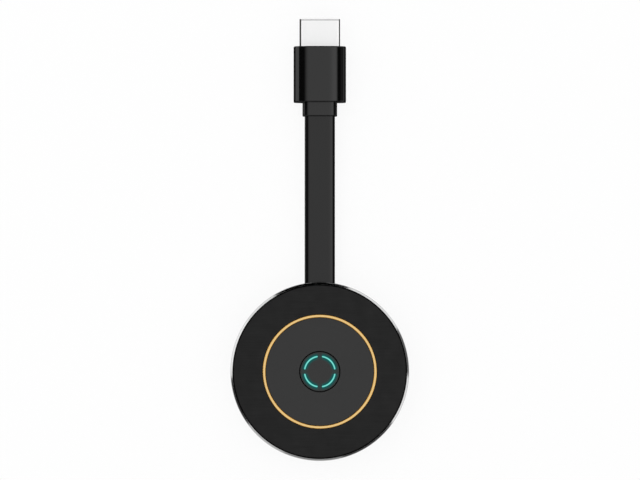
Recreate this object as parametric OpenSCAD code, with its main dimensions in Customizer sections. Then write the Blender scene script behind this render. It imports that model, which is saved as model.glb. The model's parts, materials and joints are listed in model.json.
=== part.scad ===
/* [Disc case] */
// Outside diameter of the disc over its bright rim
disc_d = 61; // [58:0.5:66]
// Thickness of the disc from the rear face to the top of the rim
disc_h = 11; // [10.6:0.1:12.5]
// Distance that the side wall stands in from the rim
wall_inset = 0.3; // [0.1:0.05:0.4]
// Thickness of the side walls
case_wall = 1.6; // [1.4:0.1:1.8]
// Thickness of the rear cover's floor
floor_t = 1.5; // [1.4:0.1:1.8]
// Thickness of the front shell's deck
deck_t = 1.4; // [1.2:0.1:1.6]
// Height of the line where the two shells meet
split_h = 5; // [4.8:0.1:5.4]
// Radius of the rear cover's lower edge
rear_edge_r = 2; // [1:0.1:2.2]
// Chamfer on both shells that makes the fine line between them
split_chamfer = 0.15; // [0.05:0.05:0.25]
// Thickness of the rear cover's tongue
tongue_t = 0.7; // [0.5:0.05:0.9]
// Height of the rear cover's tongue
tongue_h = 1; // [0.6:0.1:1.4]

/* [Front face] */
// Width of the bright rim, seen from the front
rim_w = 0.72; // [0.6:0.02:0.9]
// Height of the bright rim's band
rim_h = 3; // [2.4:0.1:3.4]
// Width of the flat land on top of the rim
rim_land = 0.08; // [0.04:0.02:0.2]
// Width of the groove between the brushed ring and the rim
rim_gap = 0.36; // [0.2:0.02:0.5]
// Depth of the brushed ring's top below the rim
face_drop = 0.2; // [0.1:0.05:0.4]
// Thickness of the brushed ring
face_ring_t = 0.6; // [0.4:0.05:0.8]
// Edge chamfer of the brushed ring and the centre panel
plate_chamfer = 0.12; // [0.05:0.01:0.2]
// Middle diameter of the gold ring
accent_d = 38; // [34:0.5:42]
// Width of the gold ring
accent_w = 0.95; // [0.7:0.05:1.3]
// Radius of the gold ring's two upper edges
accent_edge_r = 0.25; // [0.1:0.05:0.3]
// Height of the gold ring above the brushed ring
accent_proud = 0.15; // [0.05:0.05:0.2]
// Depth of the gold ring's groove in the deck
accent_sink = 0.6; // [0.3:0.1:0.9]
// Thickness of the centre panel
panel_t = 0.5; // [0.4:0.05:0.6]

/* [Push button] */
// Diameter of the button's face
button_d = 13.5; // [12.5:0.1:15]
// Gap round the button
button_gap = 0.3; // [0.2:0.02:0.4]
// Travel of the button
button_travel = 0.3; // [0.2:0.05:0.4]
// Depth of the button's face below the centre panel
button_drop = 0.05; // [0:0.01:0.15]
// Thickness of the button's top
button_top_t = 1.15; // [0.9:0.05:1.3]
// Thickness of the button's skirt
button_skirt_t = 0.85; // [0.6:0.05:0.9]
// Distance that the button's flange reaches under the deck
button_hold = 0.95; // [0.6:0.05:1.2]
// Thickness of the button's flange
button_flange_t = 0.6; // [0.4:0.05:0.7]
// Middle diameter of the four light arcs
arc_d = 10.4; // [9.6:0.1:10.6]
// Width of each light arc
arc_w = 0.5; // [0.4:0.02:0.6]
// Angle between the centres of neighbouring arcs' ends
arc_gap_angle = 22; // [16:1:26]
// Number of light arcs, each with its own lamp
arc_count = 4; // [3:1:4]

/* [Circuit board] */
// Height of the board above the rear cover's floor
board_lift = 2.2; // [2:0.1:2.3]
// Thickness of the board
board_t = 1; // [0.8:0.1:1.2]
// Gap between the board and the side wall
board_gap = 0.4; // [0.3:0.05:0.8]
// Side of the processor
processor_side = 12; // [10:0.5:13]
// Height of the processor
processor_h = 1.1; // [0.9:0.1:1.3]
// Thickness of the thermal pad
pad_t = 0.5; // [0.3:0.1:0.7]
// Number of fins on the heat sink
fin_count = 7; // [5:1:8]
// Side of the wireless module
wireless_side = 11; // [10:0.5:12]

/* [Case screws] */
// Number of case screws
screw_count = 4; // [4:4:4]
// Angle of the first case screw
screw_angle = 45; // [43:1:47]
// Distance of the screws' circle from the board's edge
screw_inset = 4.2; // [3.9:0.1:4.6]
// Radius of the screws' shank
screw_r = 0.95; // [0.8:0.05:1]
// Length of the screws' shank
screw_len = 6; // [5:0.2:6.4]
// Radius of the screws' head
screw_head_r = 1.75; // [1.6:0.05:1.9]
// Height of the screws' head
screw_head_h = 1; // [0.8:0.1:1.1]
// Depth of the screw heads below the rear face
screw_sink = 0.25; // [0.1:0.05:0.3]

/* [Rear vents] */
// Number of vent slots in the rear cover
vent_count = 16; // [10:2:18]
// Length of each vent slot
vent_len = 6.5; // [4:0.5:8]
// Width of each vent slot
vent_w = 1.3; // [0.9:0.1:1.5]
// Middle diameter of the ring of vent slots
vent_d = 31; // [28:0.5:33]

/* [Power socket] */
// Width inside the power socket
socket_w = 6.9; // [6.9:0.1:7.1]
// Height inside the power socket
socket_h = 1.85; // [1.8:0.05:1.95]
// Length of the power socket
socket_len = 5.6; // [5:0.1:6]
// Distance from the side wall in to the socket's mouth
socket_recess = 0.5; // [0.3:0.05:0.7]

/* [Cable] */
// Width of the flat cable
cable_w = 10.4; // [9.6:0.1:11]
// Thickness of the flat cable
cable_t = 3; // [2.6:0.1:3.3]
// Radius of the flat cable's long edges
cable_edge_r = 1.2; // [0.8:0.1:1.29]
// Free length of the cable between the disc and its boot
cable_free = 57.2; // [50:0.1:80]

/* [Plug] */
// Width of the plug's housing
plug_w = 18; // [17.4:0.1:19]
// Thickness of the plug's housing
plug_t = 10; // [9.4:0.1:10.8]
// Length of the plug's housing
plug_len = 19.1; // [18:0.1:22]
// Radius of the housing's long edges
plug_edge_r = 3.6; // [2.5:0.1:4]
// Radius of the edges round the housing's two ends
plug_end_r = 0.35; // [0.2:0.05:0.6]
// Width of the boot on each side of the cable
boot_side = 0.75; // [0.6:0.05:1]
// Height of the boot above and below the cable
boot_rise = 1.1; // [0.8:0.1:1.4]
// Length of the boot outside the housing
boot_len = 4.8; // [4:0.1:7]
// Width of the plug's metal shell
shell_w = 13.9; // [13.85:0.01:13.95]
// Height of the plug's metal shell
shell_h = 4.45; // [4.4:0.01:4.5]
// Length of the metal shell outside the housing
shell_out = 9.4; // [8.5:0.1:11]
// Thickness of the metal shell
shell_t = 0.3; // [0.25:0.01:0.35]

/* [Hidden] */
$fn = 96;

// Overrun of cuts past the faces that they open
cut = 0.5;
// Play between pieces that seat in each other
fit = 0.05;
// Thickness of the slices that a rounded block is drawn from
slice_t = 0.01;
// Steps of each rounded corner, of each light arc, and of a hull's round children
corner_steps = 6;
arc_steps = 24;
hull_fn = 32;

// Radii of the case, from the outside in
disc_r = disc_d / 2;
rim_in_r = disc_r - rim_w;
wall_r = disc_r - wall_inset;
inner_r = wall_r - case_wall;
neck_r = rim_in_r - fit;
tongue_r = inner_r + tongue_t;
face_ring_r = rim_in_r - rim_gap;
accent_out_r = accent_d / 2 + accent_w / 2;
accent_in_r = accent_d / 2 - accent_w / 2;
guide_r = button_d / 2 + button_gap;

// Heights of the case, from the front down
rim_z = disc_h - rim_h;
face_z = disc_h - face_drop;
deck_z = face_z - face_ring_t;
deck_low_z = deck_z - deck_t;
panel_z = deck_z + panel_t;
inside_fillet = 0.6;

// Board and what it carries
board_z = floor_t + board_lift;
board_top_z = board_z + board_t;
board_r = inner_r - board_gap;
screw_circle_r = board_r - screw_inset;

// Bosses of the two shells
boss_r = 2.1;
pilot_depth = 0.8;
rear_boss_r = 2.6;
head_seat_z = screw_sink + screw_head_h;
head_play = 0.25;
rib_t = 0.8;
rib_drop = 1.6;
drive_w = 0.35;
drive_share = 1.3;
drive_depth = 0.55;

// Ring wall that keeps the lamps' light under the button
baffle_t = 0.8;
baffle_r = guide_r + button_hold + button_gap;
baffle_out_r = baffle_r + baffle_t;
baffle_clear = 0.4;

// Button, from its face down
button_r = button_d / 2;
button_z = panel_z - button_drop;
button_roof_z = button_z - button_top_t;
button_inner_r = button_r - button_skirt_t;
flange_r = guide_r + button_hold;
flange_play = 0.1;
flange_top_z = deck_low_z - flange_play;
flange_z = flange_top_z - button_flange_t;
post_r = 1.2;
button_edge = 0.15;

// Light guide under the button
guide_play = 0.08;
guide_ring_r = button_inner_r - guide_play;
guide_bore_play = 0.5;
guide_ring_in_r = post_r + guide_bore_play;
guide_ring_t = 0.8;
light_post_r = 0.5;
light_post_gap = 0.2;
arc_fit = 0.03;

// Lamps: one under the middle of each arc
lamp_side = 1.5;
lamp_h = 0.7;
lamp_lens_r = 0.5;
lamp_lens_h = 0.1;

// Push switch
switch_side = 4.4;
switch_h = 1.6;
switch_pocket_r = 1.75;
switch_lid_t = 0.35;
switch_base_t = 0.3;
plunger_r = 0.9;
plunger_head_h = 0.85;
plunger_foot_r = 1.4;
plunger_foot_t = 0.25;
plunger_play = 0.06;
dome_r = 1.65;
dome_t = 0.08;
dome_rise = 0.4;
switch_pin_w = 0.7;
switch_pin_len = 0.8;
switch_pin_t = 0.15;

// Places on the board, as shares of the board's radius
memory_shares = [[-0.32, 0.55], [-0.32, -0.55]];
flash_shares = [0.32, 0.55];
crystal_shares = [0, 0.54];
inductor_shares = [[0.25, -0.47], [0.43, -0.45]];
capacitor_shares = [
    [-0.05, -0.5], [0.05, -0.5], [-0.05, -0.58], [0.05, -0.58], [-0.3, -0.74], [0.3, -0.74],
    [-0.24, -0.74], [0.24, -0.74], [-0.09, 0.62], [0.09, 0.62], [-0.09, 0.44], [0.09, 0.44]
];
antenna_angles = [-20, 20];

// Sizes of the pieces on the board
memory_size = [7.5, 6.5, 1];
flash_size = [8, 6.5, 0.9];
crystal_size = [3.2, 2.5, 0.8];
crystal_lid_share = 0.8;
crystal_lid_t = 0.2;
inductor_side = 4;
inductor_h = 2;
inductor_edge_r = 0.9;
inductor_core_r = 1.4;
inductor_core_h = 0.15;
capacitor_size = [0.8, 1.6, 0.8];
capacitor_end = 0.35;
capacitor_end_t = 0.05;
sink_margin = 0.4;
sink_base_t = 0.8;
sink_clear = 0.4;
fin_share = 0.42;
sink_side = processor_side + 2 * sink_margin;
wireless_t = 0.8;
shield_inset = 0.4;
shield_h = 1.5;
shield_t = 0.2;
shield_vent_r = 0.35;
shield_vents = 4;
antenna_len = 9;
antenna_t = 0.3;
antenna_h = 2.8;
antenna_strip = 0.8;
antenna_inset = 1.2;
antenna_foot = 1.5;

// The heat sink lies midway between the ring wall and the board's edge, the wireless module
// midway between the ring wall and the antennas' feet
processor_x = -(baffle_out_r + sqrt(pow(board_r, 2) - pow(sink_side / 2, 2))) / 2;
wireless_x = (baffle_out_r + board_r - antenna_inset - antenna_foot) / 2;

// Power socket: a trapezoid tube with a rolled lip, standing on the board
socket_low_share = 0.78;
socket_side_share = 0.55;
socket_metal_t = 0.25;
socket_corner_r = 0.35;
socket_lip = 0.25;
socket_lip_t = 0.3;
socket_z = board_top_z + socket_metal_t + socket_h / 2;
socket_y = -(wall_r - socket_recess);
socket_play = 0.2;
socket_back_t = 0.8;
tongue_plate_w = 3.7;
tongue_plate_h = 0.6;
tongue_plate_drop = 0.25;
tongue_plate_recess = 0.7;
socket_contact_count = 5;
socket_contact_pitch = 0.65;
socket_contact_w = 0.35;
socket_contact_t = 0.12;
socket_contact_back = 0.5;

// Cable and its passage through the side wall
cable_z = plug_t / 2;
grommet_wall = 0.8;
grommet_w = cable_w + 2 * grommet_wall;
grommet_t = cable_t + 2 * grommet_wall;
grommet_flange = 0.9;
grommet_flange_t = 1.1;
grommet_corner_r = 1.5;
grommet_back_y = sqrt(pow(inner_r, 2) - pow(grommet_w / 2 + grommet_flange, 2)) - grommet_flange_t - fit;
cable_inside = 0.6;
cable_start_y = grommet_back_y - cable_inside;
notch_play = 0.5;
wire_count = 10;
wire_w = 0.5;
wire_t = 0.3;
wire_slope = 2.6;
wire_flat = 2;
wire_spread_share = 0.84;
wire_lap = 1;

// Plug, from the boot to the tip
boot_y = wall_r + cable_free;
plug_y = boot_y + boot_len;
plug_front_y = plug_y + plug_len;
tip_y = plug_front_y + shell_out;
boot_w = cable_w + 2 * boot_side;
boot_t = cable_t + 2 * boot_rise;
boot_edge_r = 1.7;
boot_end_r = 0.5;
plug_wall = 1.4;
side_wall_share = 0.683;
plug_side_wall = side_wall_share * (plug_w - shell_w) / 2;
plug_rear_t = 1.2;
plug_front_t = 1.2;
core_w = plug_w - 2 * plug_side_wall;
core_t = plug_t - 2 * plug_wall;
core_edge_r = 1.6;
boot_flange_t = 1.2;
boot_flange_rise = 0.8;
core_y = plug_y + plug_rear_t + boot_flange_t;
core_end_y = plug_front_y - plug_front_t;
core_rear_t = 1;
cable_end_y = core_y + core_rear_t + cable_inside;
shell_in = 6.5;
shell_y = plug_front_y - shell_in;

// Metal shell of the plug: wide on the front, drawn in at the rear corners
shell_low_w = 10.6;
shell_side_h = 2.6;
shell_corner_r = 0.55;
latch_w = 2;
latch_len = 2.2;
latch_x = 3.4;
latch_back = 4.2;
seam_w = 0.12;
insulator_recess = 0.5;
insulator_back = 0.7;
slot_w = 11.4;
slot_t = 1.9;
slot_deep = 8;
contact_pitch = 1;
upper_contact_count = 10;
lower_contact_count = 9;
contact_w = 0.36;
contact_t = 0.16;
contact_recess = 0.8;
contact_tail = 1.6;
contact_fit = 0.01;
insulator_y = shell_y + insulator_back;
insulator_end_y = tip_y - insulator_recess;
tail_y = insulator_y - contact_tail;

// Points of an arc about a centre
function arc_points(centre, r, from, to, steps = corner_steps) =
    [for (i = [0 : steps])
        centre + r * [cos(from + (to - from) * i / steps), sin(from + (to - from) * i / steps)]];

function unit(v) = v / norm(v);

// Half the angle at corner p between its neighbours a and b
function half_angle(a, p, b) = acos(unit(a - p) * unit(b - p)) / 2;

// A corner of an outline, rounded to radius r
function round_corner(a, p, b, r) =
    let (
        half = half_angle(a, p, b),
        centre = p + unit(unit(a - p) + unit(b - p)) * r / sin(half),
        s = p + unit(a - p) * r / tan(half) - centre,
        e = p + unit(b - p) * r / tan(half) - centre,
        from = atan2(s[1], s[0]),
        turn = atan2(s[0] * e[1] - s[1] * e[0], s * e)
    )
    [for (i = [0 : corner_steps])
        centre + r * [cos(from + turn * i / corner_steps), sin(from + turn * i / corner_steps)]];

// A convex outline with every corner rounded
function rounded(points, r) =
    let (n = len(points))
    [for (i = [0 : n - 1]) each round_corner(points[(i + n - 1) % n], points[i], points[(i + 1) % n], r)];

// A convex outline drawn in by t on every side
function drawn_in(points, t) =
    let (n = len(points))
    [for (i = [0 : n - 1])
        let (
            a = points[(i + n - 1) % n],
            p = points[i],
            b = points[(i + 1) % n]
        )
        p + unit(unit(a - p) + unit(b - p)) * t / sin(half_angle(a, p, b))];

function oblong(w, t) = [[-w / 2, -t / 2], [w / 2, -t / 2], [w / 2, t / 2], [-w / 2, t / 2]];

// A tube outline that is wide above and drawn in below, as sockets and plugs have
function keyed(w, low_w, h, side_h) = [
    [-low_w / 2, -h / 2], [low_w / 2, -h / 2], [w / 2, h / 2 - side_h],
    [w / 2, h / 2], [-w / 2, h / 2], [-w / 2, h / 2 - side_h]
];

module turned(points) {
    rotate_extrude() polygon(points);
}

// Extrudes an upright outline along +Y, from y to y + length, about height z
module along_y(y, length, z) {
    translate([0, y + length, z]) rotate([90, 0, 0]) linear_extrude(length) children();
}

module bar_along_y(w, t, r, y, length, z) {
    along_y(y, length, z) polygon(rounded(oblong(w, t), r));
}

// A bar along +Y with rounded long edges, and its two ends rounded by end_r
module soft_bar(w, t, r, y, length, z, end_r) {
    $fn = hull_fn;
    hull() {
        for (a = [0 : 30 : 90]) {
            draw = end_r * (1 - sin(a));
            back = end_r * (1 - cos(a));
            bar_along_y(w - 2 * draw, t - 2 * draw, r - draw, y + back, slice_t, z);
            bar_along_y(w - 2 * draw, t - 2 * draw, r - draw, y + length - back - slice_t, slice_t, z);
        }
    }
}

module block(size, low_z) {
    translate([-size[0] / 2, -size[1] / 2, low_z]) cube(size);
}

module on_board(shares) {
    translate([shares[0] * board_r, shares[1] * board_r, 0]) children();
}

module at_screws() {
    for (i = [0 : screw_count - 1])
        rotate(screw_angle + i * 360 / screw_count) translate([screw_circle_r, 0, 0]) children();
}

// Hole in both shells for the cable's grommet
module grommet_hole() {
    bar_along_y(grommet_w + 2 * fit, grommet_t + 2 * fit, grommet_corner_r + fit,
        inner_r / 2, disc_r, cable_z);
}

// Hole in both shells for the power socket's mouth
module socket_hole() {
    w = socket_w + 2 * (socket_metal_t + socket_lip + socket_play);
    h = socket_h + 2 * (socket_metal_t + socket_lip + socket_play);
    bar_along_y(w, h, socket_corner_r + socket_lip + socket_play, -disc_r - cut, disc_r / 2, socket_z);
}

module vent_slot() {
    straight = vent_len - vent_w;
    translate([vent_d / 2, 0, -cut]) {
        translate([-straight / 2, -vent_w / 2, 0]) cube([straight, vent_w, floor_t + 2 * cut]);
        for (x = [-straight / 2, straight / 2])
            translate([x, 0, 0]) cylinder(d = vent_w, h = floor_t + 2 * cut);
    }
}

module rear_cover() {
    color([0.09, 0.09, 0.095]) difference() {
        union() {
            turned(concat(
                [[0, 0]],
                arc_points([wall_r - rear_edge_r, rear_edge_r], rear_edge_r, -90, 0),
                [
                    [wall_r, split_h - split_chamfer],
                    [wall_r - split_chamfer, split_h],
                    [tongue_r, split_h],
                    [tongue_r, split_h + tongue_h - split_chamfer],
                    [tongue_r - split_chamfer, split_h + tongue_h],
                    [inner_r, split_h + tongue_h],
                    [inner_r, floor_t + inside_fillet],
                    [inner_r - inside_fillet, floor_t],
                    [0, floor_t]
                ]
            ));
            at_screws() cylinder(r = rear_boss_r, h = board_z);
        }
        at_screws() {
            translate([0, 0, -cut]) cylinder(r = screw_head_r + head_play, h = head_seat_z + cut);
            cylinder(r = screw_r + fit, h = board_z + cut);
        }
        for (i = [0 : vent_count - 1])
            rotate((i + 1 / 2) * 360 / vent_count) vent_slot();
        grommet_hole();
        socket_hole();
    }
}

module front_shell() {
    color([0.07, 0.07, 0.075]) difference() {
        union() {
            turned([
                [tongue_r + fit, split_h],
                [wall_r - split_chamfer, split_h],
                [wall_r, split_h + split_chamfer],
                [wall_r, rim_z],
                [neck_r, rim_z],
                [neck_r, deck_z],
                [accent_out_r + fit, deck_z],
                [accent_out_r + fit, deck_z - accent_sink],
                [accent_in_r - fit, deck_z - accent_sink],
                [accent_in_r - fit, deck_z],
                [guide_r, deck_z],
                [guide_r, deck_low_z],
                [inner_r - inside_fillet, deck_low_z],
                [inner_r, deck_low_z - inside_fillet],
                [inner_r, split_h + tongue_h + fit],
                [tongue_r + fit, split_h + tongue_h + fit]
            ]);
            at_screws() {
                translate([0, 0, board_top_z]) cylinder(r = boss_r, h = deck_low_z - board_top_z + fit);
                translate([boss_r - rib_t, -rib_t / 2, board_top_z + rib_drop])
                    cube([inner_r - screw_circle_r - boss_r + rib_t, rib_t,
                        deck_low_z - board_top_z - rib_drop]);
            }
            turned([
                [baffle_r, board_top_z + baffle_clear],
                [baffle_out_r, board_top_z + baffle_clear],
                [baffle_out_r, deck_low_z + fit],
                [baffle_r, deck_low_z + fit]
            ]);
        }
        at_screws() translate([0, 0, board_top_z - cut])
            cylinder(r = screw_r + fit, h = deck_low_z - board_top_z - pilot_depth + cut);
        grommet_hole();
        socket_hole();
    }
}

module rim_ring() {
    round_r = rim_w - rim_land;
    color([0.86, 0.86, 0.87]) turned(concat(
        [[rim_in_r, rim_z], [disc_r, rim_z]],
        arc_points([disc_r - round_r, disc_h - round_r], round_r, 0, 90),
        [[rim_in_r, disc_h]]
    ));
}

// A flat ring plate on the deck, with its upper edges chamfered
module ring_plate(in_r, out_r, top_z) {
    turned([
        [in_r, deck_z],
        [out_r, deck_z],
        [out_r, top_z - plate_chamfer],
        [out_r - plate_chamfer, top_z],
        [in_r + plate_chamfer, top_z],
        [in_r, top_z - plate_chamfer]
    ]);
}

module face_ring() {
    color([0.13, 0.13, 0.135]) ring_plate(accent_out_r + fit, face_ring_r, face_z);
}

module accent_ring() {
    edge_z = face_z + accent_proud - accent_edge_r;
    color([0.92, 0.68, 0.3]) turned(concat(
        [[accent_in_r, deck_z - accent_sink], [accent_out_r, deck_z - accent_sink]],
        arc_points([accent_out_r - accent_edge_r, edge_z], accent_edge_r, 0, 90),
        arc_points([accent_in_r + accent_edge_r, edge_z], accent_edge_r, 90, 180)
    ));
}

module centre_panel() {
    color([0.2, 0.2, 0.205]) ring_plate(guide_r, accent_in_r - fit, panel_z);
}

// Outline of one light arc, with round ends
function light_arc_outline(w, sweep) =
    let (r = arc_d / 2)
    concat(
        arc_points([0, 0], r + w / 2, 0, sweep, arc_steps),
        arc_points(r * [cos(sweep), sin(sweep)], w / 2, sweep, sweep + 180),
        arc_points([0, 0], r - w / 2, sweep, 0, arc_steps),
        arc_points([r, 0], w / 2, 180, 360)
    );

// All light arcs, from low_z to high_z
module light_arcs(w, low_z, high_z) {
    sweep = 360 / arc_count - arc_gap_angle;
    for (i = [0 : arc_count - 1])
        rotate(arc_gap_angle / 2 + i * 360 / arc_count) translate([0, 0, low_z])
            linear_extrude(high_z - low_z) polygon(light_arc_outline(w, sweep));
}

module button_cap() {
    color([0.2, 0.2, 0.205]) difference() {
        union() {
            turned([
                [0, button_roof_z],
                [button_inner_r, button_roof_z],
                [button_inner_r, flange_z],
                [flange_r, flange_z],
                [flange_r, flange_top_z],
                [button_r, flange_top_z],
                [button_r, button_z - button_edge],
                [button_r - button_edge, button_z],
                [0, button_z]
            ]);
            translate([0, 0, board_top_z + switch_h + plunger_head_h])
                cylinder(r = post_r, h = button_roof_z - board_top_z - switch_h - plunger_head_h + fit);
        }
        light_arcs(arc_w + 2 * arc_fit, button_roof_z - cut, button_z + cut);
    }
}

module light_guide() {
    ring_z = button_roof_z - guide_ring_t;
    post_low_z = board_top_z + lamp_h + lamp_lens_h + button_travel + light_post_gap;
    color([0.45, 0.95, 0.88]) union() {
        translate([0, 0, ring_z]) difference() {
            cylinder(r = guide_ring_r, h = guide_ring_t);
            translate([0, 0, -cut]) cylinder(r = guide_ring_in_r, h = guide_ring_t + 2 * cut);
        }
        light_arcs(arc_w, button_roof_z - guide_ring_t / 2, button_z);
        at_lamps() translate([0, 0, post_low_z])
            cylinder(r = light_post_r, h = button_roof_z - post_low_z - guide_ring_t / 2);
    }
}

// Places of the lamps: under the middle of each arc
module at_lamps() {
    for (i = [0 : arc_count - 1])
        rotate((i + 1 / 2) * 360 / arc_count) translate([arc_d / 2, 0, 0]) children();
}

module indicator_lamps() {
    color([0.9, 0.92, 0.85]) at_lamps() {
        block([lamp_side, lamp_side, lamp_h], board_top_z);
        translate([0, 0, board_top_z + lamp_h]) cylinder(r = lamp_lens_r, h = lamp_lens_h);
    }
}

module switch_body() {
    color([0.12, 0.12, 0.12]) difference() {
        union() {
            block([switch_side, switch_side, switch_h], board_top_z);
            for (x = [-1, 1], y = [-1, 1])
                translate([x * (switch_side + switch_pin_len) / 2, y * switch_side / 3, 0])
                    block([switch_pin_len + 2 * fit, switch_pin_w, switch_pin_t], board_top_z);
        }
        translate([0, 0, board_top_z + switch_base_t])
            cylinder(r = switch_pocket_r, h = switch_h - switch_base_t - switch_lid_t);
        translate([0, 0, board_top_z + switch_base_t])
            cylinder(r = plunger_r + plunger_play, h = switch_h - switch_base_t + cut);
    }
}

module switch_plunger() {
    foot_z = board_top_z + switch_base_t + dome_rise;
    color([0.25, 0.25, 0.26]) union() {
        translate([0, 0, foot_z]) cylinder(r = plunger_foot_r, h = plunger_foot_t);
        translate([0, 0, foot_z])
            cylinder(r = plunger_r, h = board_top_z + switch_h + plunger_head_h - foot_z);
    }
}

// Snap dome: the spring that lifts the button
module switch_dome() {
    bow_r = (pow(dome_r, 2) + pow(dome_rise, 2)) / (2 * dome_rise);
    low_z = board_top_z + switch_base_t;
    color([0.8, 0.76, 0.66]) intersection() {
        translate([0, 0, low_z + dome_rise - bow_r]) difference() {
            sphere(r = bow_r);
            sphere(r = bow_r - dome_t);
        }
        translate([0, 0, low_z]) cylinder(r = dome_r, h = dome_rise);
    }
}

module circuit_board() {
    notch_w = grommet_w + 2 * (grommet_flange + notch_play);
    notch_y = cable_start_y - notch_play;
    color([0.05, 0.3, 0.16]) difference() {
        translate([0, 0, board_z]) cylinder(r = board_r, h = board_t);
        at_screws() translate([0, 0, board_z - cut]) cylinder(r = screw_r + fit, h = board_t + 2 * cut);
        translate([-notch_w / 2, notch_y, board_z - cut]) cube([notch_w, board_r, board_t + 2 * cut]);
    }
}

module processor() {
    color([0.1, 0.1, 0.11]) translate([processor_x, 0, 0])
        block([processor_side, processor_side, processor_h], board_top_z);
}

module thermal_pad() {
    color([0.6, 0.65, 0.7]) translate([processor_x, 0, 0])
        block([processor_side, processor_side, pad_t], board_top_z + processor_h);
}

module heat_sink() {
    low_z = board_top_z + processor_h + pad_t;
    pitch = sink_side / (fin_count - 1 + fin_share);
    color([0.62, 0.63, 0.65]) translate([processor_x, 0, 0]) union() {
        block([sink_side, sink_side, sink_base_t], low_z);
        for (i = [0 : fin_count - 1])
            translate([-sink_side / 2 + i * pitch, -sink_side / 2, low_z])
                cube([fin_share * pitch, sink_side, deck_low_z - sink_clear - low_z]);
    }
}

module memory_chips() {
    color([0.09, 0.09, 0.1]) for (place = memory_shares)
        on_board(place) block(memory_size, board_top_z);
}

module flash_chip() {
    color([0.09, 0.09, 0.1]) on_board(flash_shares) block(flash_size, board_top_z);
}

module crystal() {
    color([0.75, 0.76, 0.78]) on_board(crystal_shares) union() {
        block([crystal_size[0], crystal_size[1], crystal_size[2] - crystal_lid_t], board_top_z);
        block([crystal_size[0] * crystal_lid_share, crystal_size[1] * crystal_lid_share, crystal_size[2]],
            board_top_z);
    }
}

module power_inductors() {
    color([0.25, 0.25, 0.27]) for (place = inductor_shares) on_board(place) union() {
        translate([0, 0, board_top_z]) linear_extrude(inductor_h)
            polygon(rounded(oblong(inductor_side, inductor_side), inductor_edge_r));
        translate([0, 0, board_top_z]) cylinder(r = inductor_core_r, h = inductor_h + inductor_core_h);
    }
}

module capacitors() {
    end = [capacitor_size[0] + 2 * capacitor_end_t, capacitor_end, capacitor_size[2] + capacitor_end_t];
    color([0.66, 0.55, 0.4]) for (place = capacitor_shares) on_board(place) union() {
        block(capacitor_size, board_top_z);
        for (side = [-1, 1])
            translate([0, side * (capacitor_size[1] - capacitor_end) / 2, 0]) block(end, board_top_z);
    }
}

module wireless_module() {
    color([0.05, 0.25, 0.35]) translate([wireless_x, 0, 0])
        block([wireless_side, wireless_side, wireless_t], board_top_z);
}

// A folded tin can with a row of small holes in its roof
module wireless_shield() {
    side = wireless_side - 2 * shield_inset;
    low_z = board_top_z + wireless_t;
    color([0.78, 0.79, 0.8]) translate([wireless_x, 0, 0]) difference() {
        block([side, side, shield_h], low_z);
        block([side - 2 * shield_t, side - 2 * shield_t, shield_h - shield_t], low_z - slice_t);
        for (i = [1 : shield_vents])
            translate([-side / 2 + i * side / (shield_vents + 1), side / 4, low_z])
                cylinder(r = shield_vent_r, h = shield_h + cut);
    }
}

// Two bent strips that stand on the board's edge, each with two feet
module antennas() {
    color([0.85, 0.78, 0.55]) for (a = antenna_angles)
        rotate(a) translate([board_r - antenna_inset, 0, board_top_z]) {
            translate([-antenna_t / 2, -antenna_len / 2, antenna_h - antenna_strip])
                cube([antenna_t, antenna_len, antenna_strip]);
            for (y = [-antenna_len / 2, -antenna_len / 2 + antenna_foot + antenna_strip])
                translate([-antenna_t / 2, y, 0]) cube([antenna_t, antenna_strip, antenna_h]);
            translate([-antenna_foot, -antenna_len / 2, 0]) cube([antenna_foot, antenna_strip, antenna_t]);
        }
}

function socket_outline() =
    keyed(socket_w, socket_w * socket_low_share, socket_h, socket_h * socket_side_share);

module socket_shell() {
    outer = drawn_in(socket_outline(), -socket_metal_t);
    lip = drawn_in(outer, -socket_lip);
    color([0.75, 0.76, 0.78]) union() {
        along_y(socket_y, socket_len, socket_z) difference() {
            polygon(rounded(outer, socket_corner_r));
            polygon(rounded(socket_outline(), socket_corner_r - socket_metal_t / 2));
        }
        along_y(socket_y, socket_lip_t, socket_z) difference() {
            polygon(rounded(lip, socket_corner_r + socket_lip));
            polygon(rounded(socket_outline(), socket_corner_r - socket_metal_t / 2));
        }
    }
}

module socket_tongue() {
    tongue_z = socket_z + socket_h / 2 - tongue_plate_drop - tongue_plate_h;
    back_y = socket_y + socket_len - socket_back_t;
    tip = socket_y + tongue_plate_recess;
    color([0.1, 0.1, 0.1]) union() {
        along_y(back_y, socket_back_t, socket_z)
            polygon(rounded(drawn_in(socket_outline(), fit), socket_corner_r));
        translate([-tongue_plate_w / 2, tip, tongue_z])
            cube([tongue_plate_w, back_y - tip + fit, tongue_plate_h]);
    }
}

module socket_contacts() {
    top_z = socket_z + socket_h / 2 - tongue_plate_drop - tongue_plate_h;
    tip = socket_y + tongue_plate_recess + socket_contact_back;
    span = (socket_contact_count - 1) * socket_contact_pitch;
    color([0.9, 0.75, 0.4]) for (i = [0 : socket_contact_count - 1])
        translate([i * socket_contact_pitch - span / 2 - socket_contact_w / 2, tip, top_z - socket_contact_t])
            cube([socket_contact_w, socket_len - socket_back_t - tongue_plate_recess - socket_contact_back,
                socket_contact_t]);
}

module case_screws() {
    color([0.35, 0.36, 0.38]) at_screws() difference() {
        union() {
            translate([0, 0, screw_sink]) cylinder(r = screw_head_r, h = screw_head_h);
            translate([0, 0, screw_sink + screw_head_h / 2])
                cylinder(r = screw_r, h = screw_head_h / 2 + screw_len);
        }
        for (a = [0, 90]) rotate(a)
            block([screw_head_r * drive_share, drive_w, drive_depth + cut], screw_sink - cut);
    }
}

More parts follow.
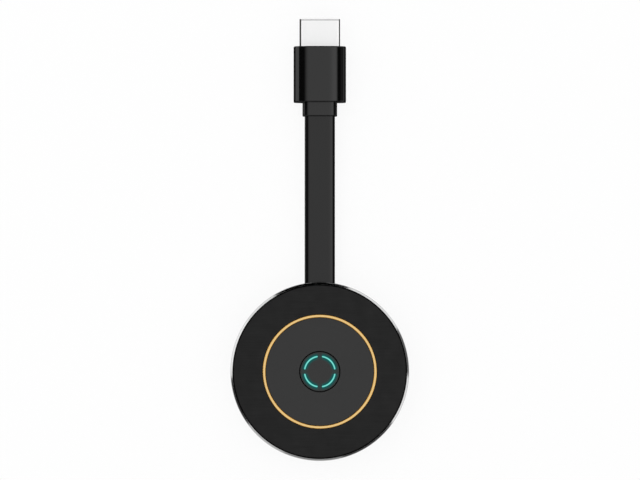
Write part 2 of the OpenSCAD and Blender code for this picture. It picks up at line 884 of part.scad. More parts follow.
// Collar of the side wall: a neck in both shells' hole, with a flange behind it
module cable_grommet() {
    flange_w = grommet_w + 2 * grommet_flange;
    flange_h = grommet_t + 2 * grommet_flange;
    color([0.06, 0.06, 0.06]) difference() {
        union() {
            intersection() {
                bar_along_y(grommet_w, grommet_t, grommet_corner_r, grommet_back_y, disc_r, cable_z);
                cylinder(r = wall_r, h = disc_h);
            }
            bar_along_y(flange_w, flange_h, grommet_corner_r, grommet_back_y, grommet_flange_t, cable_z);
        }
        bar_along_y(cable_w + 2 * fit, cable_t + 2 * fit, cable_edge_r + fit, grommet_back_y - cut,
            disc_r, cable_z);
    }
}

// Flat conductors between the cable's stripped end and the board's pads
module board_wires() {
    bend_y = cable_start_y - wire_slope;
    pad_y = bend_y - wire_flat;
    pitch = cable_w * wire_spread_share / wire_count;
    color([0.75, 0.3, 0.2]) for (i = [0 : wire_count - 1])
        translate([(i - (wire_count - 1) / 2) * pitch - wire_w / 2, 0, 0])
        rotate([90, 0, 90]) linear_extrude(wire_w) polygon([
            [cable_start_y, cable_z - wire_t / 2],
            [cable_start_y, cable_z + wire_t / 2],
            [bend_y, board_top_z + wire_t],
            [pad_y, board_top_z + wire_t],
            [pad_y, board_top_z],
            [bend_y, board_top_z]
        ]);
}

module flat_cable() {
    color([0.15, 0.15, 0.155])
        bar_along_y(cable_w, cable_t, cable_edge_r, cable_start_y, cable_end_y - cable_start_y, cable_z);
}

module cable_slot(y, length) {
    bar_along_y(cable_w + 2 * fit, cable_t + 2 * fit, cable_edge_r + fit, y, length, cable_z);
}

module plug_boot() {
    color([0.1, 0.1, 0.105]) difference() {
        union() {
            soft_bar(boot_w, boot_t, boot_edge_r, boot_y, boot_len + plug_rear_t, cable_z, boot_end_r);
            bar_along_y(boot_w + 2 * boot_flange_rise, boot_t + 2 * boot_flange_rise, boot_edge_r,
                plug_y + plug_rear_t, boot_flange_t, cable_z);
        }
        cable_slot(boot_y - cut, boot_len + plug_rear_t + boot_flange_t + 2 * cut);
    }
}

module plug_housing() {
    color([0.08, 0.08, 0.085]) difference() {
        soft_bar(plug_w, plug_t, plug_edge_r, plug_y, plug_len, cable_z, plug_end_r);
        bar_along_y(core_w, core_t, core_edge_r, plug_y + plug_rear_t,
            core_end_y - plug_y - plug_rear_t, cable_z);
        bar_along_y(boot_w + 2 * fit, boot_t + 2 * fit, boot_edge_r + fit,
            plug_y - cut, plug_rear_t + 2 * cut, cable_z);
        along_y(core_end_y - cut, plug_front_t + 2 * cut, cable_z)
            polygon(rounded(drawn_in(shell_outline(), -fit), shell_corner_r + fit));
    }
}

// Inner moulding of the plug, hollow where the wires are soldered
module plug_core() {
    color([0.85, 0.85, 0.82]) difference() {
        bar_along_y(core_w - 2 * fit, core_t - 2 * fit, core_edge_r - fit,
            core_y, core_end_y - core_y, cable_z);
        cable_slot(core_y - cut, core_rear_t + 2 * cut);
        bar_along_y(slot_w, cable_t, cable_edge_r, core_y + core_rear_t, shell_y - core_y, cable_z);
        along_y(shell_y, shell_in, cable_z)
            polygon(rounded(drawn_in(shell_outline(), -fit), shell_corner_r + fit));
    }
}

// Flat conductors that rise from the cable's end onto the tails of the upper contacts
module plug_wires() {
    tail_z = cable_z + slot_t / 2;
    color([0.75, 0.3, 0.2]) for (i = [0 : wire_count - 1])
        translate([(i - (wire_count - 1) / 2) * contact_pitch - wire_w / 2, 0, 0])
            rotate([90, 0, 90]) linear_extrude(wire_w) polygon([
                [cable_end_y, cable_z - wire_t / 2],
                [cable_end_y, cable_z + wire_t / 2],
                [tail_y, tail_z + wire_t],
                [tail_y + wire_lap, tail_z + wire_t],
                [tail_y + wire_lap, tail_z],
                [tail_y, tail_z]
            ]);
}

function shell_outline() = keyed(shell_w, shell_low_w, shell_h, shell_side_h);

module plug_shell() {
    color([0.85, 0.85, 0.86]) difference() {
        along_y(shell_y, tip_y - shell_y, cable_z) difference() {
            polygon(rounded(shell_outline(), shell_corner_r));
            polygon(rounded(drawn_in(shell_outline(), shell_t), shell_corner_r - shell_t));
        }
        for (side = [-1, 1])
            translate([side * latch_x - latch_w / 2, tip_y - latch_back - latch_len, cable_z - shell_h])
                cube([latch_w, latch_len, shell_h]);
        translate([-seam_w / 2, shell_y - cut, cable_z - shell_h])
            cube([seam_w, tip_y - shell_y + 2 * cut, shell_h]);
    }
}

// The plug's contacts: one row above the slot and one below, half a pitch apart
module contact_rows(play) {
    for (row = [1, -1]) {
        count = row > 0 ? upper_contact_count : lower_contact_count;
        low_z = row > 0 ? cable_z + slot_t / 2 - contact_t : cable_z - slot_t / 2;
        for (i = [0 : count - 1])
            translate([(i - (count - 1) / 2) * contact_pitch - contact_w / 2 - play, tail_y, low_z - play])
                cube([contact_w + 2 * play, tip_y - contact_recess - tail_y + play, contact_t + 2 * play]);
    }
}

module plug_insulator() {
    color([0.1, 0.1, 0.1]) difference() {
        along_y(insulator_y, insulator_end_y - insulator_y, cable_z)
            polygon(rounded(drawn_in(shell_outline(), shell_t + fit), shell_corner_r - shell_t));
        translate([-slot_w / 2, insulator_end_y - slot_deep, cable_z - slot_t / 2])
            cube([slot_w, slot_deep + cut, slot_t]);
        contact_rows(contact_fit);
    }
}

module plug_contacts() {
    color([0.92, 0.76, 0.38]) contact_rows(0);
}

rear_cover();
front_shell();
rim_ring();
face_ring();
accent_ring();
centre_panel();
button_cap();
light_guide();
switch_plunger();
switch_dome();
switch_body();
circuit_board();
processor();
thermal_pad();
heat_sink();
memory_chips();
flash_chip();
wireless_module();
wireless_shield();
antennas();
crystal();
power_inductors();
capacitors();
indicator_lamps();
socket_shell();
socket_tongue();
socket_contacts();
case_screws();
cable_grommet();
board_wires();
flat_cable();
plug_boot();
plug_housing();
plug_core();
plug_wires();
plug_shell();
plug_insulator();
plug_contacts();
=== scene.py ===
import json
import logging
import math
from dataclasses import dataclass
from enum import Enum
from typing import Any, Callable, Optional, Union

import bmesh
import bpy
from mathutils import Matrix, Vector


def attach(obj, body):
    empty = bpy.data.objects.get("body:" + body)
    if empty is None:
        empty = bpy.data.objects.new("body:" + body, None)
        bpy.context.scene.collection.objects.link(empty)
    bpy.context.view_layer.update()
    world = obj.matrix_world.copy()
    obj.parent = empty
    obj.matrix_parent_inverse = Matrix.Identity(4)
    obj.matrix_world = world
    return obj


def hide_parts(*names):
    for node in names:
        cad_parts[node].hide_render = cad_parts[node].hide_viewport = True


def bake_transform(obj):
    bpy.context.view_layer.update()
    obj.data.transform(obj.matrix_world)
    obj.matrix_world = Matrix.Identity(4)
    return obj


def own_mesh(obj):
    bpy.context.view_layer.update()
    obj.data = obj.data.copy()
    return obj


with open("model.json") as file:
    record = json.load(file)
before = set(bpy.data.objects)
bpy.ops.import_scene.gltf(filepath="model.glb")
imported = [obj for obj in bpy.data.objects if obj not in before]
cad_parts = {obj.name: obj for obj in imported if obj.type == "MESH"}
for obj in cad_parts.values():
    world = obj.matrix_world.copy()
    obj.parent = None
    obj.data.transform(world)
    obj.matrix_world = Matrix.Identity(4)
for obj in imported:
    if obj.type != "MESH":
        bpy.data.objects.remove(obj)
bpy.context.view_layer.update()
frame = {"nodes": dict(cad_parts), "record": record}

logging.basicConfig(level=logging.INFO, format="%(message)s")
log = logging.getLogger("dongle")

MM = 0.001
CAD_MERGE = 0.0005 * MM
SEAM_MERGE = 0.0001 * MM

Colour = tuple[float, float, float]
Point = tuple[float, float, float]
Pair = tuple[float, float]
Number = Union["Num", float]
Mesh = bmesh.types.BMesh
Piece = bpy.types.Object
Socket = bpy.types.NodeSocket

WHITE: Colour = (1.0, 1.0, 1.0)


def paint(red: int, green: int, blue: int) -> Colour:
    """Turns a colour as a screen shows it into the linear values that a shader takes.

    Args:
        red: red, from 0 to 255.
        green: green, from 0 to 255.
        blue: blue, from 0 to 255.

    Returns:
        The three linear values.
    """
    def linear(value: int) -> float:
        """Undoes the screen's curve for one channel."""
        share = value / 255
        return share / 12.92 if share <= 0.04045 else ((share + 0.055) / 1.055) ** 2.4

    return linear(red), linear(green), linear(blue)


def grey(level: int) -> Colour:
    """The linear values of a neutral grey as a screen shows it."""
    return paint(level, level, level)


class Body(Enum):
    """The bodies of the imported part."""

    RECEIVER = "receiver"
    BUTTON = "button"
    CABLE = "cable"
    PLUG = "plug"


class Grain(Enum):
    """How a fine texture runs over a surface."""

    EVEN = "even"
    ALONG_X = "along_x"
    ALONG_Y = "along_y"
    ROUND_Z = "round_z"


class Num:
    """A number socket that Python's operators act on, each adding one Math node."""

    def __init__(self, recipe: "Recipe", socket: Socket) -> None:
        """Wraps a socket of a recipe's node tree."""
        self.recipe = recipe
        self.socket = socket

    def math(self, operation: str, *values: Number) -> "Num":
        """Adds one Math node that does an operation on these values, and gives its result."""
        made = self.recipe.add("ShaderNodeMath", {"operation": operation}, dict(enumerate(values)))
        return Num(self.recipe, made.outputs[0])

    def __add__(self, other: Number) -> "Num":
        """This plus the other."""
        return self.math("ADD", self, other)

    __radd__ = __add__

    def __sub__(self, other: Number) -> "Num":
        """This minus the other."""
        return self.math("SUBTRACT", self, other)

    def __rsub__(self, other: float) -> "Num":
        """The other minus this."""
        return self.math("SUBTRACT", other, self)

    def __mul__(self, other: Number) -> "Num":
        """This times the other."""
        return self.math("MULTIPLY", self, other)

    __rmul__ = __mul__

    def __truediv__(self, other: Number) -> "Num":
        """This divided by the other."""
        return self.math("DIVIDE", self, other)

    def __rtruediv__(self, other: float) -> "Num":
        """The other divided by this."""
        return self.math("DIVIDE", other, self)

    def __abs__(self) -> "Num":
        """This without its sign."""
        return self.math("ABSOLUTE", self)

    def largest(self, other: Number) -> "Num":
        """The larger of this and the other."""
        return self.math("MAXIMUM", self, other)

    def root(self) -> "Num":
        """The square root."""
        return self.math("SQRT", self)

    def smooth(self, low: float, high: float) -> "Num":
        """A soft step.

        Args:
            low: where the step starts from 0.
            high: where it reaches 1; below low, the step runs the other way.

        Returns:
            A number from 0 to 1.
        """
        made = self.recipe.add(
            "ShaderNodeMapRange",
            {"interpolation_type": "SMOOTHSTEP"},
            {"Value": self, "From Min": min(low, high), "From Max": max(low, high)},
        )
        step = Num(self.recipe, made.outputs["Result"])
        return step if low < high else 1 - step

    def spread(self, low: float, high: float) -> "Num":
        """This, from 0 to 1, spread evenly between two values."""
        return self * (high - low) + low

    def swing(self, reach: float) -> "Num":
        """This, from 0 to 1, as a swing that reaches equally far below and above 0."""
        return self.spread(-reach, reach)


class Recipe:
    """Adds the nodes of one material, or of the world, to its tree."""

    def __init__(self, tree: bpy.types.NodeTree) -> None:
        """Empties the tree and keeps it."""
        self.tree = tree
        tree.nodes.clear()

    def add(self, kind: str, settings: dict[str, Any], sockets: dict[Any, Any]) -> bpy.types.Node:
        """Adds one node.

        Args:
            kind: the node's type.
            settings: its settings, set first.
            sockets: a value, a Num or another node's socket for each input.

        Returns:
            The node.
        """
        made = self.tree.nodes.new(kind)
        for name, value in settings.items():
            setattr(made, name, value)
        for name, value in sockets.items():
            target = made.inputs[name]
            if isinstance(value, Num):
                value = value.socket
            if isinstance(value, Socket):
                self.tree.links.new(value, target)
            elif isinstance(value, tuple) and target.type == "RGBA":
                target.default_value = (*value, 1)
            else:
                target.default_value = value
        return made

    def mix(self, factor: Num, first: Any, second: Any) -> Socket:
        """Mixes two colours or their sockets.

        Args:
            factor: 0 for the first colour alone, and 1 for the second.
            first: the first colour.
            second: the second colour.

        Returns:
            The mixed colour.
        """
        # The node has inputs for every kind of value, and 6, 7 and output 2 are the colours'.
        made = self.add("ShaderNodeMix", {"data_type": "RGBA"}, {"Factor": factor, 6: first, 7: second})
        return made.outputs[2]

    def scaled(self, colour: Any, level: Num) -> Socket:
        """A colour or a colour's socket, times a level."""
        made = self.add("ShaderNodeVectorMath", {"operation": "SCALE"}, {0: colour, "Scale": level})
        return made.outputs[0]

    def place(self, *scale: float) -> Socket:
        """The object's coordinates, stretched.

        Args:
            scale: how often the pattern repeats in a metre, as one number or as one for each axis.

        Returns:
            The coordinates.
        """
        source = self.add("ShaderNodeTexCoord", {}, {}).outputs["Object"]
        axes = scale if len(scale) == 3 else scale * 3
        made = self.add("ShaderNodeVectorMath", {"operation": "MULTIPLY"}, {0: source, 1: axes})
        return made.outputs[0]

    def parts(self, vector: Socket) -> tuple[Num, Num, Num]:
        """The three numbers of a vector."""
        x, y, z = self.add("ShaderNodeSeparateXYZ", {}, {0: vector}).outputs
        return Num(self, x), Num(self, y), Num(self, z)

    def millimetres(self) -> tuple[Num, Num, Num]:
        """The object's coordinates, in millimetres."""
        return self.parts(self.place(1 / MM))

    def radius(self) -> Num:
        """The distance from the disc's axis, in millimetres."""
        x, y, _ = self.millimetres()
        return (x * x + y * y).root()

    def noise(self, where: Socket, detail: float = 3, roughness: float = 0.55) -> Num:
        """A soft noise from 0 to 1.

        Args:
            where: coordinates, already scaled to the noise's size.
            detail: how many finer layers it has.
            roughness: how strong these are.

        Returns:
            The noise.
        """
        sockets = {"Vector": where, "Scale": 1.0, "Detail": detail, "Roughness": roughness}
        return Num(self, self.add("ShaderNodeTexNoise", {}, sockets).outputs[0])

    def grain(self, kind: Grain, size_mm: float, length_mm: float) -> Num:
        """A fine texture.

        Args:
            kind: how it runs.
            size_mm: its width, across the way that it runs.
            length_mm: its length along that way.

        Returns:
            A number from 0 to 1.
        """
        fine, slow = 1 / (size_mm * MM), 1 / (length_mm * MM)
        straight = {
            Grain.EVEN: (fine, fine, fine),
            Grain.ALONG_X: (slow, fine, fine),
            Grain.ALONG_Y: (fine, slow, fine),
        }
        if kind in straight:
            return self.noise(self.place(*straight[kind]))
        _, _, height = self.parts(self.place(fine))
        rings = self.add("ShaderNodeCombineXYZ", {}, {0: self.radius() / size_mm, 1: height})
        return self.noise(rings.outputs[0])


@dataclass(frozen=True)
class Finish:
    """A finish with a fine grain, a slow change of tone and hairline wear.

    Attributes:
        slot: the record's material slot.
        colour: its colour.
        roughness: its roughness in the middle of its spread.
        metallic: 1 for bare metal.
        specular: how strongly it shines, 0.5 for most plastics.
        grain: how its texture runs.
        grain_mm: the texture's width.
        grain_len_mm: the texture's length along its run.
        depth_mm: the texture's depth.
        tone: how far the grain changes the colour.
        cloud: how far a slow change of tone, some millimetres wide, changes the colour.
        clouds: how often that change repeats in a metre.
        wear: how far hairlines and handling change the roughness.
        wear_shares: the shares that the grain and the handling have in that.
        handled: how often the marks of handling repeat in a metre.
    """

    slot: str
    colour: Colour
    roughness: float = 0.4
    metallic: float = 0.0
    specular: float = 0.5
    grain: Grain = Grain.EVEN
    grain_mm: float = 0.3
    grain_len_mm: float = 0.3
    depth_mm: float = 0.01
    tone: float = 0.1
    cloud: float = 0.05
    clouds: float = 140.0
    wear: float = 0.1
    wear_shares: Pair = (0.3, 0.7)
    handled: float = 260.0

    def texture(self, recipe: Recipe) -> Num:
        """The grain that the colour, the roughness and the bump share."""
        return recipe.grain(self.grain, self.grain_mm, self.grain_len_mm)

    def colour_over(self, recipe: Recipe, texture: Num) -> Socket:
        """The colour over the surface, which the grain and a slow change of tone vary."""
        slow = recipe.noise(recipe.place(self.clouds), detail=2)
        return recipe.scaled(self.colour, texture.swing(self.tone) + slow.swing(self.cloud) + 1)

    def roughness_over(self, recipe: Recipe, texture: Num) -> Num:
        """The roughness over the surface.

        Args:
            recipe: the material's nodes.
            texture: the grain.

        Returns:
            A number from 0 to 1.
        """
        marks = recipe.noise(recipe.place(self.handled), detail=4, roughness=0.6)
        hairlines, handling = self.wear_shares
        return self.roughness + texture.swing(hairlines) * self.wear + marks.swing(handling) * self.wear

    def metallic_over(self, recipe: Recipe) -> Union[Num, float]:
        """How far the surface takes its shine from its colour."""
        return self.metallic

    def glow_over(self, recipe: Recipe) -> Any:
        """The light that the surface gives, or None."""
        return None

    def build(self) -> bpy.types.Material:
        """Makes the material.

        Returns:
            The material, with its nodes.
        """
        material = bpy.data.materials.new(self.slot)
        material.use_nodes = True
        recipe = Recipe(material.node_tree)
        texture = self.texture(recipe)
        relief = {"Height": texture, "Distance": self.depth_mm * MM, "Strength": 1.0}
        bump = recipe.add("ShaderNodeBump", {}, relief)
        sockets: dict[Any, Any] = {
            "Base Color": self.colour_over(recipe, texture),
            "Roughness": self.roughness_over(recipe, texture),
            "Metallic": self.metallic_over(recipe),
            "Specular IOR Level": self.specular,
            "Normal": bump.outputs[0],
        }
        glow = self.glow_over(recipe)
        if glow is not None:
            sockets["Emission Color"] = glow
            sockets["Emission Strength"] = 1.0
        shader = recipe.add("ShaderNodeBsdfPrincipled", {}, sockets)
        recipe.add("ShaderNodeOutputMaterial", {}, {"Surface": shader.outputs[0]})
        material.diffuse_color = (*self.colour, 1)
        return material


@dataclass(frozen=True)
class LampGlow(Finish):
    """The light guide: lit arcs that are brightest over their lamps.

    Attributes:
        arc_r_mm: the middle radius of the arcs.
        arc_w_mm: their width.
        hot: the colour over the middle of their width.
        edge: the colour at their edges.
        fade: how far from that middle the hot colour reaches, as a share of the width.
        lamp_reach: how far round an arc the light of its lamp reaches, as a share of the radius.
        dimmest: the share of light that is left out there.
    """

    arc_r_mm: float = 5.2
    arc_w_mm: float = 0.5
    hot: Colour = paint(122, 222, 210)
    edge: Colour = paint(60, 178, 166)
    fade: float = 0.55
    lamp_reach: float = 1.25
    dimmest: float = 0.72

    def glow_over(self, recipe: Recipe) -> Any:
        """Bright along the middle of each arc, and over the lamps.

        Args:
            recipe: the material's nodes.

        Returns:
            The colour of the light.
        """
        from_middle = abs(recipe.radius() - self.arc_r_mm).smooth(self.arc_w_mm * self.fade, 0)
        x, y, _ = recipe.millimetres()
        from_lamp = abs((abs(x) - abs(y)) / self.arc_r_mm).smooth(self.lamp_reach, 0)
        return recipe.mix(from_middle * from_lamp.spread(self.dimmest, 1.0), self.edge, self.hot)


@dataclass(frozen=True)
class LitCap(Finish):
    """The button's cap: satin plastic with light spilling from the arcs' slots.

    Attributes:
        arc_r_mm: the middle radius of the arcs.
        spill_mm: how far from there the light spills, and how far it is full.
        spill: the colour of that light.
        lit: the colour of the plastic that the light passes through.
        gap_mm: how far from the middle of a bridge between the arcs the light starts, and is full.
        top_mm: the heights between which the light fades in, so that the cap's top alone is lit.
        bridge: how much of the spill reaches the bridges.
        tinted: how far the shine takes that light's colour close to the arcs.
    """

    arc_r_mm: float = 5.2
    spill_mm: Pair = (1.45, 0.3)
    spill: Colour = paint(4, 75, 73)
    lit: Colour = paint(0, 44, 42)
    gap_mm: Pair = (0.36, 1.26)
    top_mm: Pair = (9.2, 10.5)
    bridge: float = 0.2
    tinted: float = 0.7

    def near_arcs(self, recipe: Recipe) -> Num:
        """How near the surface is to a lit arc, on the cap's top alone.

        Args:
            recipe: the material's nodes.

        Returns:
            A number from 0 to 1, lower at the bridges between the arcs.
        """
        x, y, height = recipe.millimetres()
        near = abs(recipe.radius() - self.arc_r_mm).smooth(*self.spill_mm)
        along = abs(x).smooth(*self.gap_mm) * abs(y).smooth(*self.gap_mm)
        return near * along.spread(self.bridge, 1.0) * height.smooth(*self.top_mm)

    def colour_over(self, recipe: Recipe, texture: Num) -> Socket:
        """The plastic's colour, tinted by the light that passes through it near the arcs."""
        return recipe.mix(self.near_arcs(recipe), super().colour_over(recipe, texture), self.lit)

    def metallic_over(self, recipe: Recipe) -> Union[Num, float]:
        """Tints the shine close to the arcs, where light comes out of the plastic."""
        return self.near_arcs(recipe) * self.tinted

    def glow_over(self, recipe: Recipe) -> Any:
        """A dim ring of light on both sides of the arcs."""
        return recipe.mix(self.near_arcs(recipe), (0, 0, 0), self.spill)


@dataclass(frozen=True)
class CasePlastic(Finish):
    """The case's black plastic, with painted shade darkening the groove inside the rim.

    Attributes:
        groove_mm: the radii between which the groove starts.
        groove_top_mm: the heights between which it starts, above the outside wall.
        groove_shade_share: the share of the colour that is left in the groove under its painted shade.
    """

    groove_mm: Pair = (29.2, 29.3)
    groove_top_mm: Pair = (8.9, 9.0)
    groove_shade_share: float = 0.02

    def groove(self, recipe: Recipe) -> Num:
        """1 in the groove, and 0 on the rest of the case."""
        _, _, height = recipe.millimetres()
        return recipe.radius().smooth(*self.groove_mm) * height.smooth(*self.groove_top_mm)

    def colour_over(self, recipe: Recipe, texture: Num) -> Socket:
        """The plastic's colour, darkened by painted shade in the groove."""
        # painted shade: the colour in the groove is scaled nearly to black
        left = self.groove(recipe).spread(1.0, self.groove_shade_share)
        return recipe.scaled(super().colour_over(recipe, texture), left)

    def roughness_over(self, recipe: Recipe, texture: Num) -> Num:
        """The plastic's roughness, and a dull groove."""
        return super().roughness_over(recipe, texture).largest(self.groove(recipe))


@dataclass(frozen=True)
class RingGold(Finish):
    """The gold ring's plating, with painted shade making the gold deeper on its two rounded edges.

    Attributes:
        middle_mm: the radius of the middle of its width.
        edge_mm: how far from there the painted shade starts, and where it is deepest.
        edge_shade: the deepest colour of that painted shade.
    """

    middle_mm: float = 19.0
    edge_mm: Pair = (0.12, 0.45)
    edge_shade: Colour = paint(232, 172, 72)

    def colour_over(self, recipe: Recipe, texture: Num) -> Socket:
        """The gold, with painted shade making it deeper towards both edges."""
        edge = abs(recipe.radius() - self.middle_mm).smooth(*self.edge_mm)
        # painted shade: the gold turns deeper towards both rounded edges
        return recipe.mix(edge, super().colour_over(recipe, texture), self.edge_shade)


@dataclass(frozen=True)
class PlugSteel(Finish):
    """The plug's metal shell: a satin field in a white painted-highlight frame, with painted shade on its
    tip and a painted dark reflection along its two folds.

    Attributes:
        border_highlight: the colour of the frame round the field, a painted highlight.
        lip_shade: the darker colour of the rim at its tip, painted shade.
        lip_mm: the places along the plug between which that painted shade starts.
        fold_shade: the darker colour of the two folds along its sides, a painted dark reflection.
        fold_mm: the distances from the middle between which the folds start.
        fold_shift_mm: how much nearer the left one of the folds starts, and how much further off the right
            one.
        fold_top_mm: the heights between which they start.
        side_mm: the distances from the middle between which the satin field ends.
        low_mm: the places along the plug between which the field starts.
        high_mm: the places between which it ends.
    """

    border_highlight: Colour = grey(255)
    lip_shade: Colour = grey(213)
    lip_mm: Pair = (120.0, 120.1)
    fold_shade: Colour = grey(72)
    fold_mm: Pair = (6.38, 6.53)
    fold_shift_mm: float = 0.1
    fold_top_mm: Pair = (6.5, 6.6)
    side_mm: Pair = (6.15, 5.95)
    low_mm: Pair = (111.7, 111.9)
    high_mm: Pair = (119.9, 119.7)

    def colour_over(self, recipe: Recipe, texture: Num) -> Socket:
        """The field's colour, and round it the white frame's painted highlight, the tip's painted shade and
        the folds' painted dark reflection.

        Args:
            recipe: the material's nodes.
            texture: the grain.

        Returns:
            A colour.
        """
        x, y, height = recipe.millimetres()
        inside = abs(x).smooth(*self.side_mm) * y.smooth(*self.low_mm) * y.smooth(*self.high_mm)
        # painted highlight: a white frame round the satin field
        front = recipe.mix(inside, self.border_highlight, super().colour_over(recipe, texture))
        # painted shade: a darker rim at the tip
        front = recipe.mix(y.smooth(*self.lip_mm), front, self.lip_shade)
        # painted dark reflection along the tops of both folds
        side = abs(x - self.fold_shift_mm).smooth(*self.fold_mm)
        return recipe.mix(side * height.smooth(*self.fold_top_mm), front, self.fold_shade)


@dataclass(frozen=True)
class BoardTracks(Finish):
    """Solder mask over copper tracks, with bare vias.

    Attributes:
        track: the colour of mask over copper.
        track_mm: the size of the tracks' pattern.
        shade: the colour that the grain adds to both.
        via: the colour of bare metal.
        via_mm: how far apart the vias are.
        via_edge: the shares of that distance between which a via ends.
    """

    track: Colour = paint(38, 118, 66)
    track_mm: float = 9.0
    shade: Colour = (0.0, 0.02, 0.01)
    via: Colour = paint(196, 168, 104)
    via_mm: float = 2.4
    via_edge: Pair = (0.16, 0.1)

    def colour_over(self, recipe: Recipe, texture: Num) -> Socket:
        """Tracks in bent lanes and a scatter of vias over the mask.

        Args:
            recipe: the material's nodes.
            texture: the mask's grain.

        Returns:
            A colour.
        """
        where = recipe.place(1 / (self.track_mm * MM))
        sockets = {"Vector": where, "Scale": 6.0, "Mortar Size": 0.07, "Mortar Smooth": 0.1}
        tracks = recipe.add("ShaderNodeTexBrick", {"offset": 0.35, "squash": 0.7}, sockets)
        masked = recipe.mix(Num(recipe, tracks.outputs["Fac"]), self.colour, self.track)
        toned = recipe.mix(texture.spread(0, self.tone), masked, self.shade)
        where = recipe.place(1 / (self.via_mm * MM))
        sockets = {"Vector": where, "Scale": 1.0}
        vias = recipe.add("ShaderNodeTexVoronoi", {"distance": "EUCLIDEAN"}, sockets)
        return recipe.mix(Num(recipe, vias.outputs["Distance"]).smooth(*self.via_edge), toned, self.via)


@dataclass(frozen=True)
class Tinned(Finish):
    """Small board parts with patches of tin.

    Attributes:
        tin: the colour of the tin.
        tin_from: the levels of the grain between which the tin starts.
    """

    tin: Colour = paint(196, 197, 200)
    tin_from: Pair = (0.62, 0.72)

    def colour_over(self, recipe: Recipe, texture: Num) -> Socket:
        """The body's colour, and the tin's where the grain is high."""
        return recipe.mix(texture.smooth(*self.tin_from), self.colour, self.tin)


SATIN = {"specular": 0.3, "grain_mm": 0.09, "depth_mm": 0.004, "tone": 0.08, "cloud": 0.03, "wear": 0.05}

FINISHES: list[Finish] = [
    CasePlastic("case_black", grey(38), roughness=0.5, specular=0.4, grain_mm=0.14, depth_mm=0.012,
                tone=0.12, wear=0.06),
    Finish("rim_chrome", grey(218), roughness=0.12, metallic=1.0, grain=Grain.ROUND_Z, grain_mm=0.05,
           depth_mm=0.0006, tone=0.04, cloud=0.02, wear=0.05),
    Finish("face_brushed", grey(21), roughness=0.42, specular=0.26, grain=Grain.ALONG_X, grain_mm=0.24,
           grain_len_mm=14.0, depth_mm=0.005, tone=1.0, cloud=0.06, wear=0.2),
    RingGold("accent_gold", paint(233, 199, 136), roughness=0.18, metallic=0.75, grain=Grain.ROUND_Z,
             grain_mm=0.05, depth_mm=0.0006, tone=0.06, cloud=0.08, wear=0.06),
    Finish("panel_satin", grey(48), roughness=0.46, **SATIN),
    LitCap("button_satin", grey(48), roughness=0.44, **SATIN),
    LampGlow("light_teal", paint(30, 70, 66), roughness=0.35, grain_mm=0.2, depth_mm=0.002, tone=0.05),
    Finish("switch_plastic", grey(44), roughness=0.45, grain_mm=0.1, depth_mm=0.006),
    Finish("spring_steel", paint(204, 196, 178), roughness=0.22, metallic=1.0, grain_mm=0.06,
           depth_mm=0.001),
    BoardTracks("board_green", paint(20, 84, 46), roughness=0.34, depth_mm=0.004, tone=0.3),
    BoardTracks("board_blue", paint(22, 62, 104), track=paint(40, 92, 140), roughness=0.34, depth_mm=0.004,
                tone=0.3),
    Finish("chip_black", grey(46), roughness=0.55, grain_mm=0.08, depth_mm=0.008, tone=0.2),
    Finish("pad_grey", paint(150, 160, 168), roughness=0.7, grain_mm=0.25, depth_mm=0.02),
    Finish("sink_aluminium", grey(190), roughness=0.3, metallic=1.0, grain=Grain.ALONG_Y, grain_mm=0.08,
           grain_len_mm=5, depth_mm=0.004, tone=0.12),
    Finish("can_tin", grey(205), roughness=0.26, metallic=1.0, grain=Grain.ALONG_X, grain_mm=0.12,
           grain_len_mm=3, depth_mm=0.002, cloud=0.1),
    Finish("contact_gold", paint(236, 190, 96), roughness=0.24, metallic=1.0, grain=Grain.ALONG_Y,
           grain_mm=0.05, grain_len_mm=1, depth_mm=0.001, tone=0.08),
    Finish("inductor_grey", grey(78), roughness=0.6, grain_mm=0.12, depth_mm=0.01, tone=0.25),
    Tinned("capacitor_tan", paint(150, 120, 84), roughness=0.4, grain_mm=1.1, depth_mm=0.002),
    Finish("lamp_white", paint(236, 238, 226), roughness=0.3, grain_mm=0.2, depth_mm=0.002, tone=0.04),
    Finish("insulator_black", grey(38), roughness=0.42, grain_mm=0.1, depth_mm=0.006, tone=0.12),
    Finish("screw_steel", grey(126), roughness=0.3, metallic=1.0, grain_mm=0.07, depth_mm=0.003, tone=0.12),
    Finish("cable_black", grey(10), roughness=0.1, specular=0.42, grain=Grain.ALONG_Y, grain_mm=0.2,
           grain_len_mm=26, depth_mm=0.0006, tone=0.3, cloud=0.1, wear=0.05),
    Finish("conductor_copper", paint(206, 124, 84), roughness=0.26, metallic=1.0, grain=Grain.ALONG_Y,
           grain_mm=0.06, grain_len_mm=2, depth_mm=0.002),
    Finish("boot_black", grey(12), roughness=0.12, grain_mm=0.2, depth_mm=0.002, tone=0.08, wear=0.05),
    Finish("plug_gloss", grey(8), roughness=0.1, grain_mm=1.6, depth_mm=0.003, cloud=0.1, wear=0.06),
    Finish("core_white", paint(222, 222, 214), roughness=0.5, grain_mm=0.2, depth_mm=0.008, tone=0.05),
    PlugSteel("plug_steel", grey(246), roughness=0.2, metallic=0.62, grain=Grain.ALONG_Y, grain_mm=0.14,
              grain_len_mm=7, depth_mm=0.0004, tone=0.02, cloud=0.01, wear=0.05),
]


def in_scene(name: str, data: bpy.types.ID) -> Piece:
    """Adds an object of a mesh, a lamp or a camera to the scene.

    Args:
        name: its name.
        data: the mesh, lamp or camera.

    Returns:
        The object, at the origin.
    """
    made = bpy.data.objects.new(name, data)
    bpy.context.scene.collection.objects.link(made)
    return made


def kept_mesh(name: str, mesh: Mesh) -> bpy.types.Mesh:
    """Keeps a shape as a mesh of Blender's.

    Args:
        name: its name.
        mesh: the shape, which is freed.

    Returns:
        The mesh.
    """
    data = bpy.data.meshes.new(name)
    mesh.to_mesh(data)
    mesh.free()
    return data


